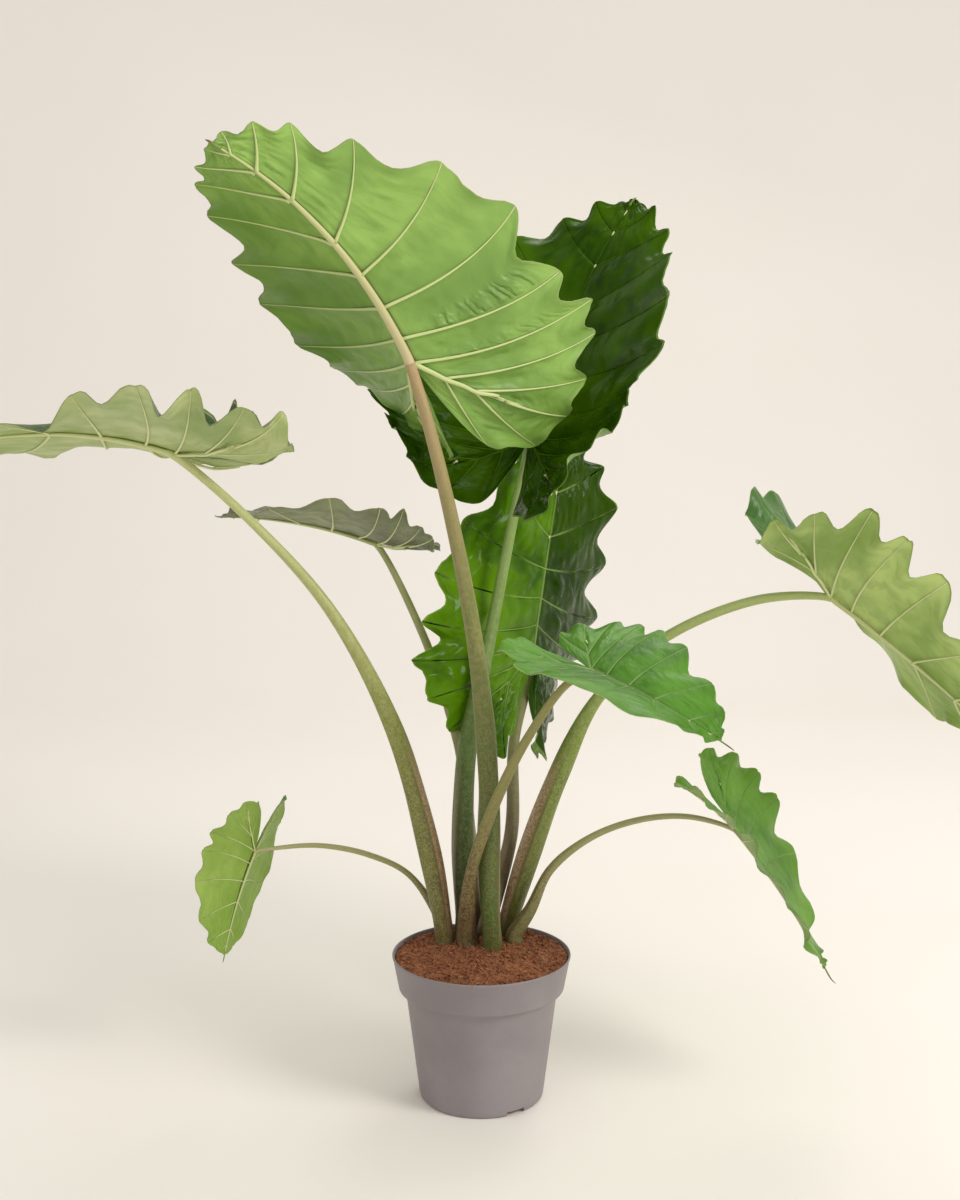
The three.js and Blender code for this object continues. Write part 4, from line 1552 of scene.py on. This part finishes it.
@dataclass
class CoirFilling:
    """The pot's coir: an uneven top with crumbs and fibres."""

    edge_height: float = 193
    crown_height: float = 200
    edge_radius: float = 115.4
    rings: tuple[float, ...] = (*range(4, 85, 8), 91, 97, 102, 106, 109.5, 112.5, 114.4)
    buried: tuple[tuple[float, float], ...] = ((108.2, 157), (99.9, 148), (81.8, 8), (78, 3.3), (0, 3.3))
    crumbs: int = 1500
    crumb_reach: float = 114
    crumb_limit: float = 116.6
    crumb_sizes: tuple[float, ...] = (1.0, 1.3, 1.7, 2.3, 3.2)
    fibres: int = 130
    fibre_reach: float = 104
    fibre_limit: float = 113
    hanging: tuple[Point, ...] = (
        (-2, -104, 195.5),
        (-5, -113, 197.3),
        (-8, -119.5, 198.4),
        (-10.5, -122, 193),
        (-11.5, -122.6, 185),
    )
    steps: int = 160

    def level(self, x: float, y: float) -> float:
        """Finds the height of the top.

        Args:
            x: The place across.
            y: The place in depth.

        Returns:
            The height there, in millimetres.
        """
        r = math.hypot(x, y)
        base = self.edge_height + (self.crown_height - self.edge_height) * (1 - smooth(35, 112, r))
        rough = noise.noise(Vector((x * 0.05, y * 0.05, 3))) * 1.8
        rough += noise.noise(Vector((x * 0.2, y * 0.2, 9))) * 1.1
        return float(base + rough * (1 - smooth(108, 116, r)))

    def build_body(self) -> Mesh:
        """Builds the filling.

        Returns:
            The mesh in metres.
        """
        outline = [(r, self.edge_height) for r in (0, *self.rings)]
        bm = spun([*outline, (self.edge_radius + 1, self.edge_height - 3), *self.buried], self.steps)
        for vert in bm.verts:
            if vert.co.z > (self.edge_height - 1) * MM:
                vert.co.z = self.level(vert.co.x / MM, vert.co.y / MM) * MM
        return bm

    def build_crumbs(self, rng: random.Random) -> Mesh:
        """Scatters crumbs over the top.

        Args:
            rng: The source of chance.

        Returns:
            The mesh in metres.
        """
        bm = bmesh.new()
        for _ in range(self.crumbs):
            radius = self.crumb_reach * math.sqrt(rng.random())
            turn = rng.uniform(0, 2 * math.pi)
            x, y = radius * math.cos(turn), radius * math.sin(turn)
            size = rng.choice(self.crumb_sizes) * rng.uniform(0.7, 1.15)
            size = min(size, self.crumb_limit - radius)
            z = self.level(x, y) + size * 0.3
            spin = Matrix.Rotation(rng.uniform(0, 6.28), 4, Vector((rng.random(), rng.random(), 1)))
            stretch = (rng.uniform(0.6, 1.4), rng.uniform(0.6, 1.2), rng.uniform(0.5, 0.9), 1)
            place = Matrix.Translation((x * MM, y * MM, z * MM)) @ spin @ Matrix.Diagonal(stretch)
            bmesh.ops.create_icosphere(bm, subdivisions=1, radius=size * MM, matrix=place)
        return bm

    def build_fibres(self, rng: random.Random) -> Mesh:
        """Strews dry fibres over the top, with one that hangs over the rim.

        Args:
            rng: The source of chance.

        Returns:
            The mesh in metres.
        """
        bm = bmesh.new()
        for _ in range(self.fibres):
            radius = self.fibre_reach * math.sqrt(rng.random())
            turn, heading = rng.uniform(0, 2 * math.pi), rng.uniform(0, 2 * math.pi)
            x, y = radius * math.cos(turn), radius * math.sin(turn)
            length, course = rng.uniform(6, 24), []
            for _ in range(4):
                heading += rng.uniform(-0.5, 0.5)
                x += math.cos(heading) * length / 4
                y += math.sin(heading) * length / 4
                off = max(1.0, math.hypot(x, y) / self.fibre_limit)
                x, y = x / off, y / off
                course.append((x, y, self.level(x, y) + 0.8 + rng.uniform(0, 2.6)))
            self.add_fibre(bm, course, rng.uniform(0.18, 0.42))
        self.add_fibre(bm, self.hanging, 0.5)
        return bm

    @staticmethod
    def add_fibre(bm: Mesh, course: Sequence[Point], radius: float) -> None:
        """Adds one thin fibre along a course in millimetres."""
        rings = Strand(course).rings(8, (0.1, 0.2, 1), lambda t: radius * (1 - 0.6 * t))
        add_tube(bm, 5, rings, 0.001)

    def make(self) -> None:
        """Builds and dresses the filling, its crumbs and its fibres."""
        rng = random.Random(SEED)
        coir = CoirFinish().make()
        Piece.show("coir_body", self.build_body(), [coir], Slot.COIR, "soil")
        Piece.show("coir_crumbs", self.build_crumbs(rng), [coir], Slot.COIR)
        Piece.show("coir_fibres", self.build_fibres(rng), [FibreFinish().make()], Slot.COIR)


@dataclass
class Rootstock:
    """The short buried rootstock that carries every stalk."""

    x: float = -5
    y: float = 50
    radius: float = 58
    depth_ratio: float = 0.85
    top: float = CROWN_TOP
    bottom: float = 126
    shoulder: float = 12
    scars: int = 11
    scar_depth: float = 1.6
    steps: int = 72

    def build(self) -> Mesh:
        """Spins the rootstock with its leaf scars.

        Returns:
            The mesh in metres.
        """
        outline = [(0, self.bottom), (self.radius * 0.5, self.bottom), (self.radius * 0.57, self.bottom + 1)]
        for k in range(1, self.scars + 1):
            z = self.bottom + 1 + (self.top - self.bottom - 2) * k / self.scars
            share = min(1.0, (z - self.bottom) / self.shoulder)
            r = self.radius * (0.57 + 0.33 * share if share < 1 else 0.93)
            outline.append((r + (self.scar_depth if k % 2 else 0), z))
        outline += [(self.radius * 0.9, self.top - 0.4), (0, self.top - 0.4)]
        bm = spun(outline, self.steps)
        for vert in bm.verts:
            bump = noise.noise(vert.co / MM * 0.12) * 1.2 * MM
            vert.co.x += vert.co.x / (self.radius * MM) * bump
            vert.co.y = (vert.co.y + vert.co.y / (self.radius * MM) * bump) * self.depth_ratio
        bmesh.ops.translate(bm, verts=bm.verts, vec=(self.x * MM, self.y * MM, 0))
        return bm

    def make(self) -> None:
        """Builds and dresses the rootstock."""
        Piece.show("rootstock", self.build(), [RootFinish().make()], Slot.CROWN, "crown")


@dataclass
class Studio:
    """A pale sweep, soft light and the camera."""

    camera_place: Point = (-0.002, -1.983, 0.929)
    camera_pitch: float = 7.3
    lens: float = 45.9
    sensor: float = 36.0
    width: float = 9.0
    depth_front: float = 4.0
    depth_back: float = 2.6
    wall_height: float = 4.5
    bend_radius: float = 1.2
    bend_steps: int = 16
    lit_place: Point = (0, 0, 0.6)
    sky: Tint = (255, 252, 250)
    sky_strength: float = 0.68

    def make_sweep(self) -> None:
        """Builds the floor that curves up into the backdrop."""
        bm = bmesh.new()
        back, bend = self.depth_back, self.bend_radius
        outline = [(-self.depth_front, 0.0)]
        for a in (k * math.pi / 2 / self.bend_steps for k in range(self.bend_steps + 1)):
            outline.append((back + math.sin(a) * bend, bend * (1 - math.cos(a))))
        outline.append((back + bend, self.wall_height))
        points = [bm.verts.new((-self.width / 2, y, z)) for y, z in outline]
        edges = [bm.edges.new(pair) for pair in zip(points, points[1:])]
        made = bmesh.ops.extrude_edge_only(bm, edges=edges)["geom"]
        verts = [g for g in made if isinstance(g, bmesh.types.BMVert)]
        bmesh.ops.translate(bm, verts=verts, vec=(self.width, 0, 0))
        bmesh.ops.reverse_faces(bm, faces=[f for f in bm.faces if f.normal.z < 0])
        Piece.show("studio_sweep", bm, [StageFinish().make()], None)

    def add_light(self, name: str, place: Point, size: float, power: float, tint: Tint) -> None:
        """Adds one soft light that faces the plant.

        Args:
            name: The light's name.
            place: Where it hangs, in metres.
            size: Its side.
            power: Its strength in watts.
            tint: Its colour.
        """
        data = bpy.data.lights.new(name, "AREA")
        data.shape = "DISK"
        data.size = size
        data.energy = power
        data.color = linear(tint)[:3]
        lamp = bpy.data.objects.new(name, data)
        lamp.location = place
        ahead = Vector(self.lit_place) - Vector(place)
        lamp.rotation_euler = ahead.to_track_quat("-Z", "Y").to_euler()
        bpy.context.scene.collection.objects.link(lamp)

    def add_sky(self) -> None:
        """Sets the even light from all round."""
        world = bpy.data.worlds.new("studio_world")
        world.use_nodes = True
        inputs = world.node_tree.nodes["Background"].inputs
        inputs["Color"].default_value = linear(self.sky)
        inputs["Strength"].default_value = self.sky_strength
        bpy.context.scene.world = world
        bpy.context.scene.view_settings.view_transform = "Standard"

    def add_camera(self) -> None:
        """Places the camera."""
        data = bpy.data.cameras.new("camera")
        data.lens = self.lens
        data.sensor_width = self.sensor
        camera = bpy.data.objects.new("camera", data)
        camera.location = self.camera_place
        camera.rotation_euler = (math.radians(90 - self.camera_pitch), 0, 0)
        bpy.context.scene.collection.objects.link(camera)
        bpy.context.scene.camera = camera

    def make(self) -> None:
        """Sets up the sweep, the light and the camera."""
        self.make_sweep()
        self.add_light("key", (2.6, -1.6, 2.4), 1.5, 62, (255, 252, 247))
        self.add_light("fill", (-2.4, -2.4, 1.8), 2.2, 4, (255, 253, 250))
        self.add_light("back", (0.9, 2.2, 3.2), 1.8, 22, (255, 252, 246))
        self.add_sky()
        self.add_camera()


@dataclass
class Leaf:
    """A leaf's blade and stalk."""

    form: LeafForm
    blade: BladeFinish
    stalk: StalkFinish
    dry_tip: float = 0.0
    curl_tip: float = 0.05
    pucker: float = 0.011
    face_turn: float = 0.0

    def make(self) -> None:
        """Builds both."""
        Blade(self.form, self.blade, self.pucker, self.curl_tip, self.dry_tip).make()
        Stalk(self.form, self.stalk, self.face_turn).make()


LEAVES = (
    Leaf(
        FRONT_TALL,
        BladeFinish(
            under=(112, 150, 62), under_light=(146, 184, 86), vein_under=(200, 212, 144),
            rib=(206, 190, 146), upper=(40, 74, 14), upper_light=(58, 98, 26), shine=0.45, gloss=0.22,
            pucker_rows=((7, 1, 1), (8, 1, 0.35)),
        ),
        StalkFinish(
            foot=(82, 108, 38), middle=(126, 130, 70), tip=(186, 158, 116), speckle=(64, 78, 30),
            turning=0.62, freckled=0.7, sheathed=0.15,
        ),
        dry_tip=0.8, curl_tip=0.03, pucker=0.013,
    ),
    Leaf(
        LEFT_HIGH,
        BladeFinish(
            under=(146, 168, 98), under_light=(190, 202, 140), upper=(52, 82, 34),
            upper_light=(80, 110, 52), rib=(206, 212, 150),
        ),
        StalkFinish(
            foot=(118, 112, 54), middle=(142, 148, 72), tip=(208, 214, 150), speckle=(82, 74, 36),
            freckled=0.8, sheathed=0.85,
        ),
        face_turn=-16,
    ),
    Leaf(
        LEFT_BACK,
        BladeFinish(
            # The upper face's grey-green tints are a painted reflection: the sheen of the pale backdrop seen
            # at a grazing angle.
            under=(94, 102, 74), under_light=(142, 150, 108), upper=(116, 122, 94),
            upper_light=(148, 150, 124), vein_upper=(150, 158, 122), rib=(176, 180, 124),
        ),
        StalkFinish(foot=(104, 84, 66), middle=(140, 138, 88), tip=(176, 180, 122), sheathed=0.2),
    ),
    Leaf(
        BACK_TALL,
        BladeFinish(
            upper=(30, 60, 0), upper_light=(62, 98, 2), vein_upper=(80, 116, 20), vein_show=0.6,
            edge=(112, 138, 44), gloss=0.16, shine=0.5, ior=1.12, quilt=1.4,
        ),
        StalkFinish(
            foot=(52, 66, 30), middle=(96, 122, 54), tip=(152, 176, 98), speckle=(60, 52, 40),
            sheathed=0.1,
        ),
        curl_tip=0.02, pucker=0.015,
    ),
    Leaf(
        CENTRE,
        BladeFinish(
            upper=(42, 80, 0), upper_light=(92, 136, 12), vein_upper=(128, 162, 74),
            # Its right-hand half is darkened by painted shade.
            edge=(158, 190, 70), gloss=0.12, shine=0.5, ior=1.2, quilt=2.2, half_shade=0.75,
        ),
        StalkFinish(foot=(98, 80, 62), middle=(120, 108, 80), tip=(150, 158, 100), sheathed=0.2),
        curl_tip=0.025, pucker=0.02,
    ),
    Leaf(
        FRONT_LOW,
        BladeFinish(
            upper=(62, 108, 30), upper_light=(98, 152, 50), vein_upper=(140, 172, 100), gloss=0.34,
            ior=1.4, quilt=0.3, rib=(150, 152, 92),
        ),
        StalkFinish(
            foot=(112, 98, 66), middle=(140, 134, 78), tip=(160, 158, 96), freckled=1.0, sheathed=0.3,
        ),
        dry_tip=1.0, curl_tip=0.13,
    ),
    Leaf(
        RIGHT_HIGH,
        BladeFinish(
            under=(134, 162, 78), under_light=(186, 208, 124), upper=(50, 88, 30),
            upper_light=(74, 114, 48), rib=(196, 204, 134),
        ),
        StalkFinish(
            foot=(108, 110, 50), middle=(126, 144, 62), tip=(190, 202, 130), speckle=(80, 76, 34),
            freckled=0.8, sheathed=0.9,
        ),
        face_turn=22,
    ),
    Leaf(
        LEFT_LOW, BladeFinish(under=(134, 168, 66), under_light=(164, 194, 94)),
        StalkFinish(foot=(126, 122, 62), middle=(166, 162, 104), tip=(190, 186, 134), sheathed=0.1),
        dry_tip=1.0, curl_tip=0.1,
    ),
    Leaf(
        RIGHT_LOW,
        BladeFinish(
            upper=(64, 106, 26), upper_light=(102, 146, 50), vein_upper=(128, 158, 90), gloss=0.3,
            ior=1.4, quilt=0.5, rib=(176, 176, 120),
        ),
        StalkFinish(foot=(112, 112, 56), middle=(156, 154, 98), tip=(184, 180, 134), sheathed=0.2),
        dry_tip=1.0, curl_tip=0.12,
    ),
)


def main() -> None:
    """Builds every piece of the plant, then the studio."""
    logging.basicConfig(level=logging.INFO, format="%(message)s")
    NurseryPot().make()
    CoirFilling().make()
    Rootstock().make()
    for leaf in LEAVES:
        leaf.make()
    Studio().make()


if __name__ == "__main__":
    main()
